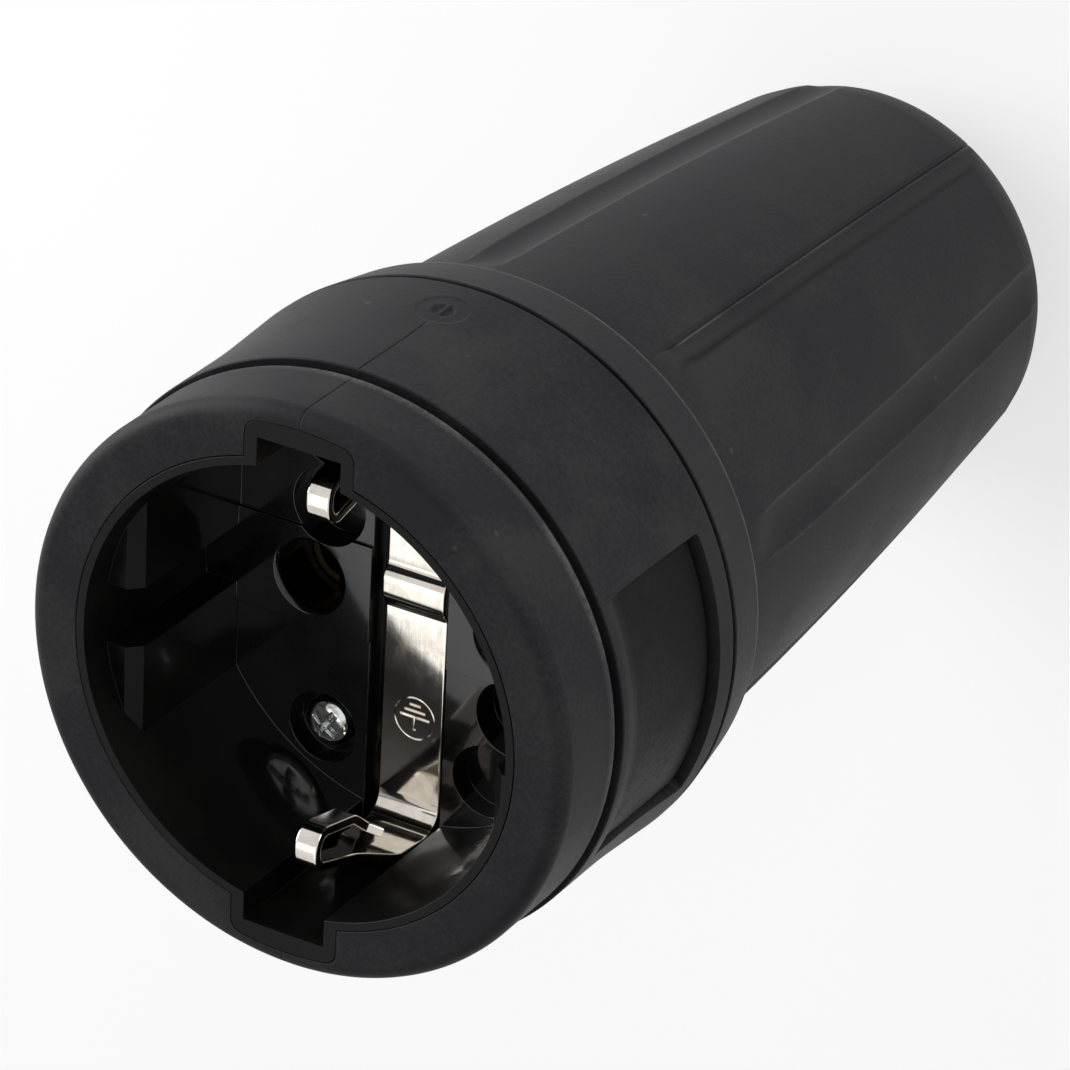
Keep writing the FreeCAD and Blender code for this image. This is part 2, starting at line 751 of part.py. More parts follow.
def label_recess():
    """Sunk panel on the shell's side, left bare, about +X."""
    outline = sharp([(ring_radius - panel_sink, panel_front_depth),
                     (shell_rear_radius + groove_depth, panel_front_depth),
                     (shell_rear_radius + groove_depth, panel_end_depth),
                     (ring_radius - panel_sink, panel_end_depth)])
    panel = turned(outline, panel_angle)
    lines = [edge for edge in panel.Edges if isinstance(edge.Curve, Part.Line)]
    panel = panel.makeFillet(panel_corner, [edge for edge in lines if edge.BoundBox.ZLength < tolerance])
    return panel.rotated(ORIGIN, AXIS, -panel_angle / 2)


def moulding_mark():
    """Shallow round mark on the top of the shell, on the parting line."""
    reach = shell_rear_radius - flare_rise * mark_from_rear / flare_length - mark_sink
    return Part.makeCylinder(mark_radius, mark_radius, FreeCAD.Vector(0, reach, level(mark_depth)),
                             FreeCAD.Vector(0, 1, 0))


def front_shell():
    """Rubber shell with a front ring, a groove, a slightly flared body and a lip over the insert's rim."""
    lip_radius = rim_radius + fit_gap
    groove_end = ring_length + groove_width
    body = turned([
        (lip_radius, 0, 0),
        (ring_radius, 0, ring_round),
        (ring_radius, ring_length, edge_round),
        (ring_radius - groove_depth, ring_length + groove_width / 2, 0),
        (body_radius, groove_end, edge_round),
        (body_radius, flare_depth, 0),
        (shell_rear_radius, shell_depth, edge_round),
        (shell_bore, shell_depth, 0),
        (shell_bore, rim_height - fit_gap, 0),
        (lip_radius, rim_height - fit_gap, 0),
    ])
    return body.cut([insert_bar(0, shell_depth, fit_gap), label_recess(), moulding_mark()])


# Rubber grip

def grip_side():
    """Circle of the grip's gently bowed side in the XZ plane, from the foot of its shoulder on."""
    mid_radius = (grip_front_radius + grip_rear_radius) / 2 + grip_bow
    mid_depth = (grip_side_depth + grip_rear_depth) / 2
    bow = Part.Arc(FreeCAD.Vector(grip_front_radius, 0, level(grip_side_depth)),
                   FreeCAD.Vector(mid_radius, 0, level(mid_depth)),
                   FreeCAD.Vector(grip_rear_radius, 0, level(grip_rear_depth)))
    return bow.toShape().Curve


def grip_point(depth, outwards=0):
    """Point of the grip's bowed side at a depth, moved outwards."""
    side = grip_side()
    rise = level(depth) - side.Center.z
    reach = side.Center.x + math.sqrt(side.Radius ** 2 - rise ** 2)
    return FreeCAD.Vector(reach + outwards, 0, level(depth))


def grip_outside():
    """Turned outside of the grip: shoulder, step, bowed side and rounded end."""
    crease_depth = grip_depth + shoulder_length
    front = FreeCAD.Vector(0, 0, level(grip_depth))
    shoulder = FreeCAD.Vector(shell_rear_radius, 0, level(grip_depth))
    crease = FreeCAD.Vector(shell_rear_radius - shoulder_fall, 0, level(crease_depth))
    points = [front, shoulder, crease, grip_point(grip_side_depth)]
    edges = [Part.makeLine(*pair) for pair in zip(points, points[1:])]
    mid_depth = (grip_side_depth + overall_length) / 2
    foot = grip_point(overall_length)
    edges.append(Part.Arc(points[-1], grip_point(mid_depth), foot).toShape())
    edges += [Part.makeLine(foot, ORIGIN), Part.makeLine(ORIGIN, front)]
    body = Part.Face(Part.Wire(edges)).revolve(ORIGIN, AXIS, 360)
    body = body.makeFillet(grip_end_round, edges_at_height(body, 0))
    return body.makeFillet(edge_round, edges_at_height(body, level(crease_depth)))


def grip_cavity():
    """Inside of the grip: seat on the collar with its snap bead, wiring room, funnel and cable entry."""
    seat = collar_radius + seat_gap
    bead = collar_radius - snap_bite + seat_gap
    snap_front = snap_front_depth + seat_gap
    snap_end = snap_front_depth + snap_width - seat_gap
    seat_end = collar_depth + seat_gap
    entry_depth = overall_length - cable_entry_length
    return turned(sharp([
        (0, grip_depth), (seat, grip_depth), (seat, snap_front), (bead, snap_front), (bead, snap_end),
        (seat, snap_end), (seat, seat_end), (cavity_front_radius, cavity_front_depth),
        (cavity_end_radius, cavity_end_depth), (cable_entry_radius, entry_depth),
        (cable_entry_radius, overall_length), (0, overall_length),
    ]))


def flute():
    """Cutter of one flute at +X: a rod along the grip's side with a ball at its front end."""
    rod_radius = (flute_width ** 2 / 4 + flute_depth ** 2) / (2 * flute_depth)
    depths = [flute_start_depth, (flute_start_depth + overall_length) / 2, overall_length]
    path = Part.Arc(*[grip_point(depth, rod_radius - flute_depth) for depth in depths]).toShape()
    start = path.valueAt(path.FirstParameter)
    section = Part.Wire(Part.makeCircle(rod_radius, start, path.tangentAt(path.FirstParameter)))
    rod = Part.Wire(path).makePipeShell([section], True, False)
    return rod.fuse(Part.makeSphere(rod_radius, start))


def rear_grip():
    """Rubber hood with its shoulder, flutes, wiring room and cable entry."""
    turns = [flute_phase + 360 / flute_count * step for step in range(flute_count)]
    flutes = [flute().rotated(ORIGIN, AXIS, turn) for turn in turns]
    return grip_outside().cut(grip_cavity()).cut(flutes)


# Nodes

os.makedirs("parts", exist_ok=True)
export("front_shell", front_shell())
export("rear_grip", rear_grip())
export("socket_insert", socket_insert())
export("insert_screws", *[insert_screw(at) for at in screw_places()])
export("earth_bracket", earth_bracket())
export("earth_rivet", earth_rivet())
export("earth_terminal", earth_terminal())
export("earth_terminal_screw", earth_terminal_screw())
export("earth_clamp_washer", earth_clamp_washer())
export("contact_carrier", contact_carrier())
export("live_contact", contact())
export("neutral_contact", half_turned(contact()))
export("live_contact_spring", contact_spring())
export("neutral_contact_spring", half_turned(contact_spring()))
export("live_terminal", terminal())
export("neutral_terminal", half_turned(terminal()))
export("terminal_screws", terminal_screw(), half_turned(terminal_screw()))
export("wire_guards", wire_guard(), half_turned(wire_guard()))
export("clamp_saddle", clamp_saddle())
export("clamp_screws", *[clamp_screw(side) for side in (-1, 1)])
export("clamp_nuts", *[clamp_nut(side) for side in (-1, 1)])
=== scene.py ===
import json
import logging
import math
from dataclasses import dataclass
from enum import Enum
from typing import Callable, ClassVar, Sequence

import bmesh
import bpy
from mathutils import Euler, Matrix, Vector


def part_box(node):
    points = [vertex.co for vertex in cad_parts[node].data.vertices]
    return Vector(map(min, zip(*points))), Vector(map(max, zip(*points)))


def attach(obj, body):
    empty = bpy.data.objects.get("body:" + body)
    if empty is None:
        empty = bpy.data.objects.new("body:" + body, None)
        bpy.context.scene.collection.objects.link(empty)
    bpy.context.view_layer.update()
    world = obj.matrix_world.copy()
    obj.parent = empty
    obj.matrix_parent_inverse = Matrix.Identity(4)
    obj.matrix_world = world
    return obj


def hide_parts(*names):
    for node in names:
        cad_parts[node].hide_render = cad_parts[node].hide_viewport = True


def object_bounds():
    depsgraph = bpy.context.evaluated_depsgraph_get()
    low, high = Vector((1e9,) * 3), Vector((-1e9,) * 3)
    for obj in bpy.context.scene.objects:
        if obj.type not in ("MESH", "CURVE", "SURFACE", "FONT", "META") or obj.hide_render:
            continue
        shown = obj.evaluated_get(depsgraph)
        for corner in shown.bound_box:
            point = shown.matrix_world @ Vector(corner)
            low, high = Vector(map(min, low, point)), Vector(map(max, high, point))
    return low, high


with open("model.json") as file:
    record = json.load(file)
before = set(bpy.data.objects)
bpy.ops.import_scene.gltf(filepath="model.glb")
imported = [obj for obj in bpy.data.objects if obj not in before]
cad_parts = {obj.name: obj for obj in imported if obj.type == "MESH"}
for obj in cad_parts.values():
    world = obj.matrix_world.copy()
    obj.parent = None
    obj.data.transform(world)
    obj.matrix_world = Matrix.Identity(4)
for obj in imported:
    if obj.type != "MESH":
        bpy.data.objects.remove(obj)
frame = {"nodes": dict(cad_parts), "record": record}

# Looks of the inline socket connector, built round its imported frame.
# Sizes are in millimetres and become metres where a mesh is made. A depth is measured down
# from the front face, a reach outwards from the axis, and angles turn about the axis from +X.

MM = 0.001
CAD_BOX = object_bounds()
FRONT = CAD_BOX[1].z / MM
BODY = "root"
# Pale edges: rubbing on the rubber's edges together with painted highlights where rounded edges catch light.
WEAR_AND_HIGHLIGHT_MARK = "pale_wear_and_highlight"
# Darker tone: the label panel's floor, and painted shade along the lower edge of the grip's flute under the
# parting line.
DARK_PANEL_AND_SHADE_MARK = "dark"
LOG = logging.getLogger("socket_connector")
UNIT = (0.0, 1.0)

Colour = tuple[float, float, float]
Place = tuple[float, float, float]
Span = tuple[float, float]
Piece = bpy.types.Object
Material = bpy.types.Material
Socket = bpy.types.NodeSocket
Outputs = bpy.types.NodeOutputs
Tree = bpy.types.NodeTree


class Slot(Enum):
    """Material slots of the part's record."""

    RUBBER = "rubber"
    INSERT = "insert_plastic"
    CARRIER = "carrier_plastic"
    NICKEL = "nickel"
    BRASS = "brass"
    ZINC = "zinc_steel"


class Flow(Enum):
    """Direction in which a metal was rolled or turned."""

    ALONG_STRIP = (0.05, 1.0, 0.05)
    ROUND_AXIS = (1.0, 1.0, 0.12)


# Outlines and meshes

@dataclass(frozen=True)
class Corner:
    """Corner of an outline: two coordinates and the radius that rounds it."""

    u: float
    v: float
    rounding: float = 0.0


def level(depth: float) -> float:
    """Height in metres of a depth below the front face."""
    return (FRONT - depth) * MM


def eased(low: float, high: float, value: float) -> float:
    """Share from 0 at low to 1 at high, with soft ends."""
    share = min(max((value - low) / (high - low), 0.0), 1.0)
    return share * share * (3 - 2 * share)


def wrapped(angle: float) -> float:
    """Angle brought between minus and plus half a turn."""
    return (angle + math.pi) % math.tau - math.pi


def spread(middle: float, step: float, steps: int) -> list[float]:
    """Values at even steps on both sides of a middle one."""
    return [middle + step * number for number in range(-steps, steps + 1)]


def rounded_outline(
    corners: Sequence[Corner], closed: bool, steps: int = 6, hold: float = 0.04
) -> list[Vector]:
    """Points of an outline with rounded corners.

    Args:
        corners: The outline's corners in order.
        closed: Whether the last corner joins the first.
        steps: Points along each rounding.
        hold: Distance of the extra point that keeps a run straight next to a rounding.

    Returns:
        The points, as 2-D vectors.
    """
    points = [Vector((corner.u, corner.v)) for corner in corners]
    count = len(points)
    outline: list[Vector] = []
    for index, corner in enumerate(corners):
        here = points[index]
        if corner.rounding == 0 or (not closed and index in (0, count - 1)):
            outline.append(here)
            continue
        back = (points[index - 1] - here).normalized()
        ahead = (points[(index + 1) % count] - here).normalized()
        half = back.angle(ahead) / 2
        reach = corner.rounding / math.tan(half)
        centre = here + (back + ahead).normalized() * (corner.rounding / math.sin(half))
        start = here + back * reach - centre
        end = here + ahead * reach - centre
        first = math.atan2(start.y, start.x)
        sweep = wrapped(math.atan2(end.y, end.x) - first)
        outline.append(here + back * (reach + hold))
        for step in range(steps + 1):
            turn = first + sweep * step / steps
            outline.append(centre + Vector((math.cos(turn), math.sin(turn))) * corner.rounding)
        outline.append(here + ahead * (reach + hold))
    return outline


def divided(
    outline: Sequence[Vector], spacing: Callable[[Vector], float], closed: bool, slack: float = 0.98
) -> list[Vector]:
    """Outline with extra points on its long runs.

    Args:
        outline: Points in order.
        spacing: Longest run allowed at a point.
        closed: Whether the last point joins the first.
        slack: Share of a run past which it counts as done.

    Returns:
        The points with the added ones between them.
    """
    result: list[Vector] = []
    count = len(outline)
    for index, here in enumerate(outline):
        result.append(here)
        if index == count - 1 and not closed:
            break
        following = outline[(index + 1) % count]
        done = 0.0
        run = (following - here).length
        while True:
            done += spacing(here.lerp(following, done / run) if run else here)
            if done >= run * slack:
                break
            result.append(here.lerp(following, done / run))
    return result


def shown(name: str, data: bpy.types.ID) -> Piece:
    """Object at the origin that shows some data, linked to the scene."""
    piece = bpy.data.objects.new(name, data)
    bpy.context.scene.collection.objects.link(piece)
    return piece


def new_piece(
    name: str, vertices: Sequence[Sequence[float]], faces: Sequence[Sequence[int]]
) -> Piece:
    """Object with a new mesh.

    Args:
        name: Name of the object and its mesh.
        vertices: Points in metres.
        faces: Corner numbers of each face.

    Returns:
        The object, at the origin.
    """
    mesh = bpy.data.meshes.new(name)
    mesh.from_pydata(vertices, [], faces)
    return shown(name, mesh)


def grid_faces(columns: int, rows: int, all_round: bool, closed: bool) -> list[tuple[int, ...]]:
    """Faces between neighbouring columns of points.

    Args:
        columns: Number of columns.
        rows: Points in each column, numbered one column after the other.
        all_round: Whether the last column joins the first.
        closed: Whether the last point of a column joins its first.

    Returns:
        Corner numbers of each face.
    """
    faces = []
    for column in range(columns if all_round else columns - 1):
        here = column * rows
        ahead = (column + 1) % columns * rows
        for row in range(rows if closed else rows - 1):
            below = (row + 1) % rows
            faces.append((here + row, here + below, ahead + below, ahead + row))
    return faces


def sewn(piece: Piece, sharp_angle: float = 40.0, join: float = 1e-7) -> None:
    """Merges doubles, turns faces outwards and shades smooth up to an angle.

    Args:
        piece: Object whose mesh is finished in place.
        sharp_angle: Edges steeper than this stay sharp, in degrees.
        join: Distance in metres under which points are merged.
    """
    mesh = bmesh.new()
    mesh.from_mesh(piece.data)
    bmesh.ops.remove_doubles(mesh, verts=mesh.verts, dist=join)
    bmesh.ops.dissolve_degenerate(mesh, edges=mesh.edges, dist=join)
    bmesh.ops.recalc_face_normals(mesh, faces=mesh.faces)
    limit = math.radians(sharp_angle)
    for face in mesh.faces:
        face.smooth = True
    for edge in mesh.edges:
        edge.smooth = edge.calc_face_angle(0.0) < limit
    mesh.to_mesh(piece.data)
    mesh.free()


def turned_ring(
    name: str,
    outline: Sequence[Vector],
    angles: Sequence[float],
    shaped: Callable[[float, float, float], float],
) -> Piece:
    """Ring turned about the axis from a closed outline.

    Args:
        name: Name of the piece.
        outline: Points (reach, depth), outwards first and then down.
        angles: Directions of the columns, in rising order round the axis.
        shaped: Gives the final reach for a reach, a depth and an angle.

    Returns:
        The ring as a closed mesh object.
    """
    vertices = []
    for angle in angles:
        along = Vector((math.cos(angle), math.sin(angle)))
        for row in outline:
            reach = shaped(row.x, row.y, angle) * MM
            vertices.append((along.x * reach, along.y * reach, level(row.y)))
    return new_piece(name, vertices, grid_faces(len(angles), len(outline), True, True))


def evaluated_mesh(piece: Piece) -> bpy.types.Mesh:
    """Copy of an object's mesh with its modifiers applied."""
    depsgraph = bpy.context.evaluated_depsgraph_get()
    return bpy.data.meshes.new_from_object(piece.evaluated_get(depsgraph))


def baked(piece: Piece) -> None:
    """Replaces an object's mesh by its evaluated one and removes its modifiers."""
    mesh = evaluated_mesh(piece)
    piece.modifiers.clear()
    piece.data = mesh


def handed_over(piece: Piece, materials: "Materials", slot: Slot, *nodes: str) -> None:
    """Dresses a finished piece and puts it in the place of its CAD nodes.

    Args:
        piece: Finished object at the origin.
        materials: The part's materials.
        slot: Slot of the record that the piece belongs to.
        nodes: CAD nodes that the piece stands for.
    """
    piece.data.materials.clear()
    piece.data.materials.append(materials[slot])
    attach(piece, BODY)
    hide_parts(*nodes)
    LOG.info("%s stands for %s with %d faces", piece.name, ", ".join(nodes), len(piece.data.polygons))


# Node trees

class NodeBoard:
    """Places and joins the nodes of one shader or geometry tree."""

    def __init__(self, tree: Tree) -> None:
        """Keeps the tree that nodes are added to."""
        self.tree = tree

    def feed(self, node: bpy.types.Node, inputs: dict) -> None:
        """Sets a node's inputs.

        Args:
            node: Node of the tree.
            inputs: Value or source socket of each input, by name or number.
        """
        for key, value in inputs.items():
            if isinstance(value, Socket):
                self.tree.links.new(value, node.inputs[key])
            else:
                node.inputs[key].default_value = value

    def add(self, kind: str, inputs: dict | None = None, **settings: object) -> bpy.types.Node:
        """Adds a node.

        Args:
            kind: Blender's name of the node type.
            inputs: Value or source socket of each input, by name or number.
            settings: Properties of the node.

        Returns:
            The node.
        """
        node = self.tree.nodes.new(kind)
        for name, value in settings.items():
            setattr(node, name, value)
        self.feed(node, inputs or {})
        return node

    def math(self, operation: str, *values: object) -> Socket:
        """Output of a math node for the given values or sockets."""
        return self.add("ShaderNodeMath", dict(enumerate(values)), operation=operation).outputs[0]

    def chained(self, operation: str, first: object, *others: object) -> Socket:
        """Result of one operation on several values, taken from left to right."""
        for other in others:
            first = self.math(operation, first, other)
        return first

    def plus(self, *values: object) -> Socket:
        """Sum of the values."""
        return self.chained("ADD", *values)

    def minus(self, *values: object) -> Socket:
        """First value less the others."""
        return self.chained("SUBTRACT", *values)

    def times(self, *values: object) -> Socket:
        """Product of the values."""
        return self.chained("MULTIPLY", *values)

    def most(self, *values: object) -> Socket:
        """Largest of the values."""
        return self.chained("MAXIMUM", *values)

    def remapped(self, value: Socket, span: Span, to: Span) -> Socket:
        """Output of a clamped map range from one span to another."""
        inputs = {0: value, 1: span[0], 2: span[1], 3: to[0], 4: to[1]}
        return self.add("ShaderNodeMapRange", inputs).outputs[0]

    def blended(self, share: Socket, first: object, second: Colour) -> Socket:
        """Colour between a colour or socket and a second colour."""
        first = first if isinstance(first, Socket) else rgba(first)
        node = self.add("ShaderNodeMix", {0: share, 6: first, 7: rgba(second)}, data_type="RGBA")
        return node.outputs[2]

    def noise(self, where: Socket, scale: Socket, **settings: float) -> Socket:
        """Value of a noise texture, with its other inputs named in lower case."""
        inputs = {name.capitalize(): value for name, value in settings.items()}
        return self.add("ShaderNodeTexNoise", {"Vector": where, "Scale": scale, **inputs}).outputs[0]

    def mark(self, name: str) -> Socket:
        """Value that a mesh stores under a name, for a material."""
        return self.add("ShaderNodeAttribute", attribute_name=name).outputs["Fac"]

    def polar(self, reach: Socket, turn: Socket, height: Socket) -> Socket:
        """Place at a reach, a direction about the axis and a height."""
        across = self.times(reach, self.math("COSINE", turn))
        along = self.times(reach, self.math("SINE", turn))
        return self.add("ShaderNodeCombineXYZ", {0: across, 1: along, 2: height}).outputs[0]

    def sampled(self, outline: Socket, value: Socket, index: Socket, kind: str) -> Socket:
        """Value of an outline's point by its number."""
        inputs = {"Geometry": outline, "Value": value, "Index": index}
        return self.add("GeometryNodeSampleIndex", inputs, data_type=kind).outputs[0]

    def named(self, name: str) -> Socket:
        """Value that a mesh stores under a name, for a geometry tree."""
        return self.add("GeometryNodeInputNamedAttribute", {"Name": name}, data_type="FLOAT").outputs[0]

    def stored(self, geometry: Socket, name: str, value: Socket) -> Socket:
        """Geometry that keeps a value at its points under a name."""
        inputs = {"Geometry": geometry, "Name": name, "Value": value}
        node = self.add("GeometryNodeStoreNamedAttribute", inputs, data_type="FLOAT", domain="POINT")
        return node.outputs[0]

    def put_out(self, geometry: Socket, finish: Socket) -> None:
        """Ends a geometry tree with real geometry in its material."""
        real = self.add("GeometryNodeRealizeInstances", {0: geometry}).outputs[0]
        dressed = self.add("GeometryNodeSetMaterial", {"Geometry": real, "Material": finish}).outputs[0]
        self.add("NodeGroupOutput", {0: dressed})


def new_group(name: str, kind: str, inputs: dict[str, str], outputs: dict[str, str]) -> Tree:
    """Empty node group with named sockets.

    Args:
        name: Name of the group.
        kind: Tree type of the group.
        inputs: Socket type of each input.
        outputs: Socket type of each output.

    Returns:
        The group.
    """
    group = bpy.data.node_groups.new(name, kind)
    for label, socket in inputs.items():
        group.interface.new_socket(name=label, in_out="INPUT", socket_type=socket)
    for label, socket in outputs.items():
        group.interface.new_socket(name=label, in_out="OUTPUT", socket_type=socket)
    return group


def floats(*names: str) -> dict[str, str]:
    """Socket type of inputs or outputs that are plain numbers."""
    return {name: "NodeSocketFloat" for name in names}


def moulded_skin_group() -> Tree:
    """Cloudy patches, fine grain and pale specks of a moulded surface, shared by rubber and plastics."""
    group = new_group(
        "moulded_skin", "ShaderNodeTree",
        floats("Cloud Scale", "Grain Scale", "Speck Scale"), floats("Cloud", "Grain", "Speck"))
    board = NodeBoard(group)
    given = board.add("NodeGroupInput").outputs
    where = board.add("ShaderNodeTexCoord").outputs["Object"]
    cloud = board.noise(where, given["Cloud Scale"], detail=4.0, roughness=0.5, distortion=0.4)
    grain = board.noise(where, given["Grain Scale"], detail=3.0, roughness=0.7)
    scatter = board.noise(where, given["Cloud Scale"], detail=2.0, distortion=1.5)
    specks = board.add("ShaderNodeTexVoronoi", {"Vector": where, "Scale": given["Speck Scale"]}, feature="F1")
    mean_grain = 0.5
    grain_share = 0.7
    mottled = board.plus(cloud, board.times(board.minus(grain, mean_grain), grain_share))
    near = board.remapped(specks.outputs["Distance"], (0.05, 0.16), (1.0, 0.0))
    some = board.remapped(scatter, (0.58, 0.66), UNIT)
    board.add("NodeGroupOutput", {
        "Cloud": board.remapped(mottled, (0.42, 0.7), UNIT),
        "Grain": grain,
        "Speck": board.times(near, some),
    })
    return group


def worked_metal_group() -> Tree:
    """Drawn lines and dull smudges of plated sheet and wire, shared by the metals."""
    group = new_group(
        "worked_metal", "ShaderNodeTree",
        {"Flow": "NodeSocketVector", **floats("Line Scale", "Smudge Scale")}, floats("Lines", "Smudge"))
    board = NodeBoard(group)
    given = board.add("NodeGroupInput").outputs
    where = board.add("ShaderNodeTexCoord").outputs["Object"]
    full = (1.05, 1.05, 1.05)
    squeeze = board.add("ShaderNodeVectorMath", {0: full, 1: given["Flow"]}, operation="SUBTRACT").outputs[0]
    drawn = board.add("ShaderNodeVectorMath", {0: where, 1: squeeze}, operation="MULTIPLY").outputs[0]
    smudge = board.noise(where, given["Smudge Scale"], detail=6.0, roughness=0.7, distortion=0.8)
    board.add("NodeGroupOutput", {
        "Lines": board.noise(drawn, given["Line Scale"], detail=4.0, roughness=0.65),
        "Smudge": board.remapped(smudge, (0.42, 0.68), UNIT),
    })
    return group


# Finishes

def rgba(colour: Colour) -> tuple[float, float, float, float]:
    """Colour with full alpha, as a socket takes it."""
    return (*colour, 1.0)


@dataclass(frozen=True, kw_only=True)
class Finish:
    """What every finish has. Each kind adds its scales, colour and gloss."""

    tone_mark: ClassVar[str]
    relief_mark: ClassVar[str]

    name: str
    base: Colour
    roughness: Span
    relief: float

    def material(self, group: Tree) -> Material:
        """Material of the finish.

        Args:
            group: The shared group of its kind.

        Returns:
            A new material.
        """
        material = bpy.data.materials.new(self.name)
        material.use_nodes = True
        board = NodeBoard(material.node_tree)
        marks = board.add("ShaderNodeGroup", self.scales(), node_tree=group).outputs
        bump = board.add("ShaderNodeBump", {
            "Strength": 1.0, "Distance": self.relief * MM, "Height": marks[self.relief_mark]})
        board.feed(material.node_tree.nodes["Principled BSDF"], {
            "Base Color": self.colour(board, marks),
            "Roughness": board.remapped(marks[self.tone_mark], UNIT, self.roughness),
            "Normal": bump.outputs[0],
            **self.gloss(board),
        })
        return material


@dataclass(frozen=True, kw_only=True)
class MouldedFinish(Finish):
    """Rubber or plastic from a mould: a dark base with cloudy patches, specks and fine grain."""

    tone_mark = "Cloud"
    relief_mark = "Grain"

    patch: Colour
    speck: Colour
    specular: float
    cloud_scale: float
    grain_scale: float
    speck_scale: float
    # Pale colour of rubbed edges, which also carries painted highlights.
    pale_wear_and_highlight: Colour | None = None
    # Darker colour of the panel floor and of painted shade by a flute.
    dark: Colour | None = None
    uneven_wear_and_highlight: Span = (0.35, 1.0)
    polish: float | None = None
    polish_depths: Span = (6.0, 14.0)

    def scales(self) -> dict[str, float]:
        """Inputs of the shared group."""
        return {"Cloud Scale": self.cloud_scale, "Grain Scale": self.grain_scale,
                "Speck Scale": self.speck_scale}

    def colour(self, board: NodeBoard, marks: Outputs) -> Socket:
        """Patched and specked colour, with darker areas (the panel floor, and painted shade by a flute) and
        pale edges (rubbing with painted highlights) where a mesh marks them.
        """
        cloud = marks["Cloud"]
        colour = board.blended(marks["Speck"], board.blended(cloud, self.base, self.patch), self.speck)
        if not self.pale_wear_and_highlight:
            return colour
        # Darker tone: the panel floor, and painted shade by a flute.
        darkened = board.blended(board.mark(DARK_PANEL_AND_SHADE_MARK), colour, self.dark)
        # Pale edges: rubbing mixed with painted highlights on rounded edges.
        wear_and_highlight = board.times(board.mark(WEAR_AND_HIGHLIGHT_MARK), board.remapped(cloud, UNIT, self.uneven_wear_and_highlight))
        return board.blended(wear_and_highlight, darkened, self.pale_wear_and_highlight)

    def gloss(self, board: NodeBoard) -> dict[str, object]:
        """Inputs of the shader for the plain gloss and for a polish that grows with the depth."""
        inputs: dict[str, object] = {"Specular IOR Level": self.specular}
        if self.polish:
            where = board.add("ShaderNodeTexCoord").outputs["Object"]
            height = board.add("ShaderNodeSeparateXYZ", {0: where}).outputs["Z"]
            matt, polished = (level(depth) for depth in self.polish_depths)
            inputs["Coat Weight"] = board.remapped(height, (matt, polished), UNIT)
            inputs["Coat Roughness"] = self.polish
        return inputs


@dataclass(frozen=True, kw_only=True)
class MetalFinish(Finish):
    """Plated or bare metal: a bright base, dull smudges and drawn lines."""

    tone_mark = "Smudge"
    relief_mark = "Lines"

    tarnish: Colour
    flow: Flow
    line_scale: float
    smudge_scale: float

    def scales(self) -> dict[str, object]:
        """Inputs of the shared group."""
        return {"Flow": self.flow.value, "Line Scale": self.line_scale, "Smudge Scale": self.smudge_scale}

    def colour(self, board: NodeBoard, marks: Outputs) -> Socket:
        """Bright colour with its smudges."""
        return board.blended(marks["Smudge"], self.base, self.tarnish)

    def gloss(self, board: NodeBoard) -> dict[str, object]:
        """Inputs of the shader that make it a metal."""
        return {"Metallic": 1.0}


FINISHES: dict[Slot, Finish] = {
    Slot.RUBBER: MouldedFinish(
        name="black_rubber", base=(0.0138, 0.0135, 0.0153), patch=(0.0252, 0.0248, 0.0259),
        speck=(0.042, 0.0415, 0.0415), roughness=(0.46, 0.58), specular=0.07, relief=0.022,
        cloud_scale=105.0, grain_scale=2400.0, speck_scale=420.0,
        # The pale edge colour carries painted highlights; the darker colour also paints shade by a flute.
        pale_wear_and_highlight=(0.09, 0.089, 0.09), dark=(0.006, 0.0059, 0.0066)),
    Slot.INSERT: MouldedFinish(
        name="glossy_insert", base=(0.003, 0.003, 0.003), patch=(0.0042, 0.0041, 0.0039),
        speck=(0.008, 0.008, 0.0078), roughness=(0.3, 0.4), specular=0.12, relief=0.004,
        cloud_scale=260.0, grain_scale=420.0, speck_scale=500.0, polish=0.08),
    Slot.CARRIER: MouldedFinish(
        name="satin_carrier", base=(0.012, 0.012, 0.0125), patch=(0.018, 0.018, 0.019),
        speck=(0.03, 0.03, 0.03), roughness=(0.35, 0.48), specular=0.5, relief=0.01,
        cloud_scale=180.0, grain_scale=1500.0, speck_scale=800.0),
    Slot.NICKEL: MetalFinish(
        name="nickel_plate", base=(0.82, 0.775, 0.71), tarnish=(0.69, 0.63, 0.54), roughness=(0.08, 0.14),
        flow=Flow.ALONG_STRIP, line_scale=2200.0, relief=0.003, smudge_scale=420.0),
    # Brass darkened far below its own colour: tarnish, and painted shade for the deep pin holes.
    Slot.BRASS: MetalFinish(
        name="tarnished_and_shade_darkened_brass", base=(0.11, 0.08, 0.045), tarnish=(0.05, 0.035, 0.02), roughness=(0.4, 0.55),
        flow=Flow.ROUND_AXIS, line_scale=1800.0, relief=0.006, smudge_scale=380.0),
    Slot.ZINC: MetalFinish(
        name="zinc_plate", base=(0.86, 0.87, 0.88), tarnish=(0.3, 0.3, 0.26), roughness=(0.08, 0.24),
        flow=Flow.ROUND_AXIS, line_scale=1600.0, relief=0.02, smudge_scale=1100.0),
}
Materials = dict[Slot, Material]


def made_materials() -> Materials:
    """Material of each slot, with the two shared groups made once."""
    groups = {MouldedFinish: moulded_skin_group(), MetalFinish: worked_metal_group()}
    return {slot: finish.material(groups[type(finish)]) for slot, finish in FINISHES.items()}


# Studio

@dataclass(frozen=True)
class Softbox:
    """Square lamp aimed at the connector: its place, the length of its side and its power in watts."""

    name: str
    at: Place
    size: float
    power: float

    def add(self) -> None:
        """Adds the lamp to the scene."""
        data = bpy.data.lights.new(self.name, "AREA")
        data.shape = "SQUARE"
        data.size = self.size * MM
        data.energy = self.power
        lamp = shown(self.name, data)
        lamp.location = Vector(self.at) * MM
        aim = Vector((0.0, 0.0, FRONT * MM / 2)) - lamp.location
        lamp.rotation_euler = aim.to_track_quat("-Z", "Y").to_euler()


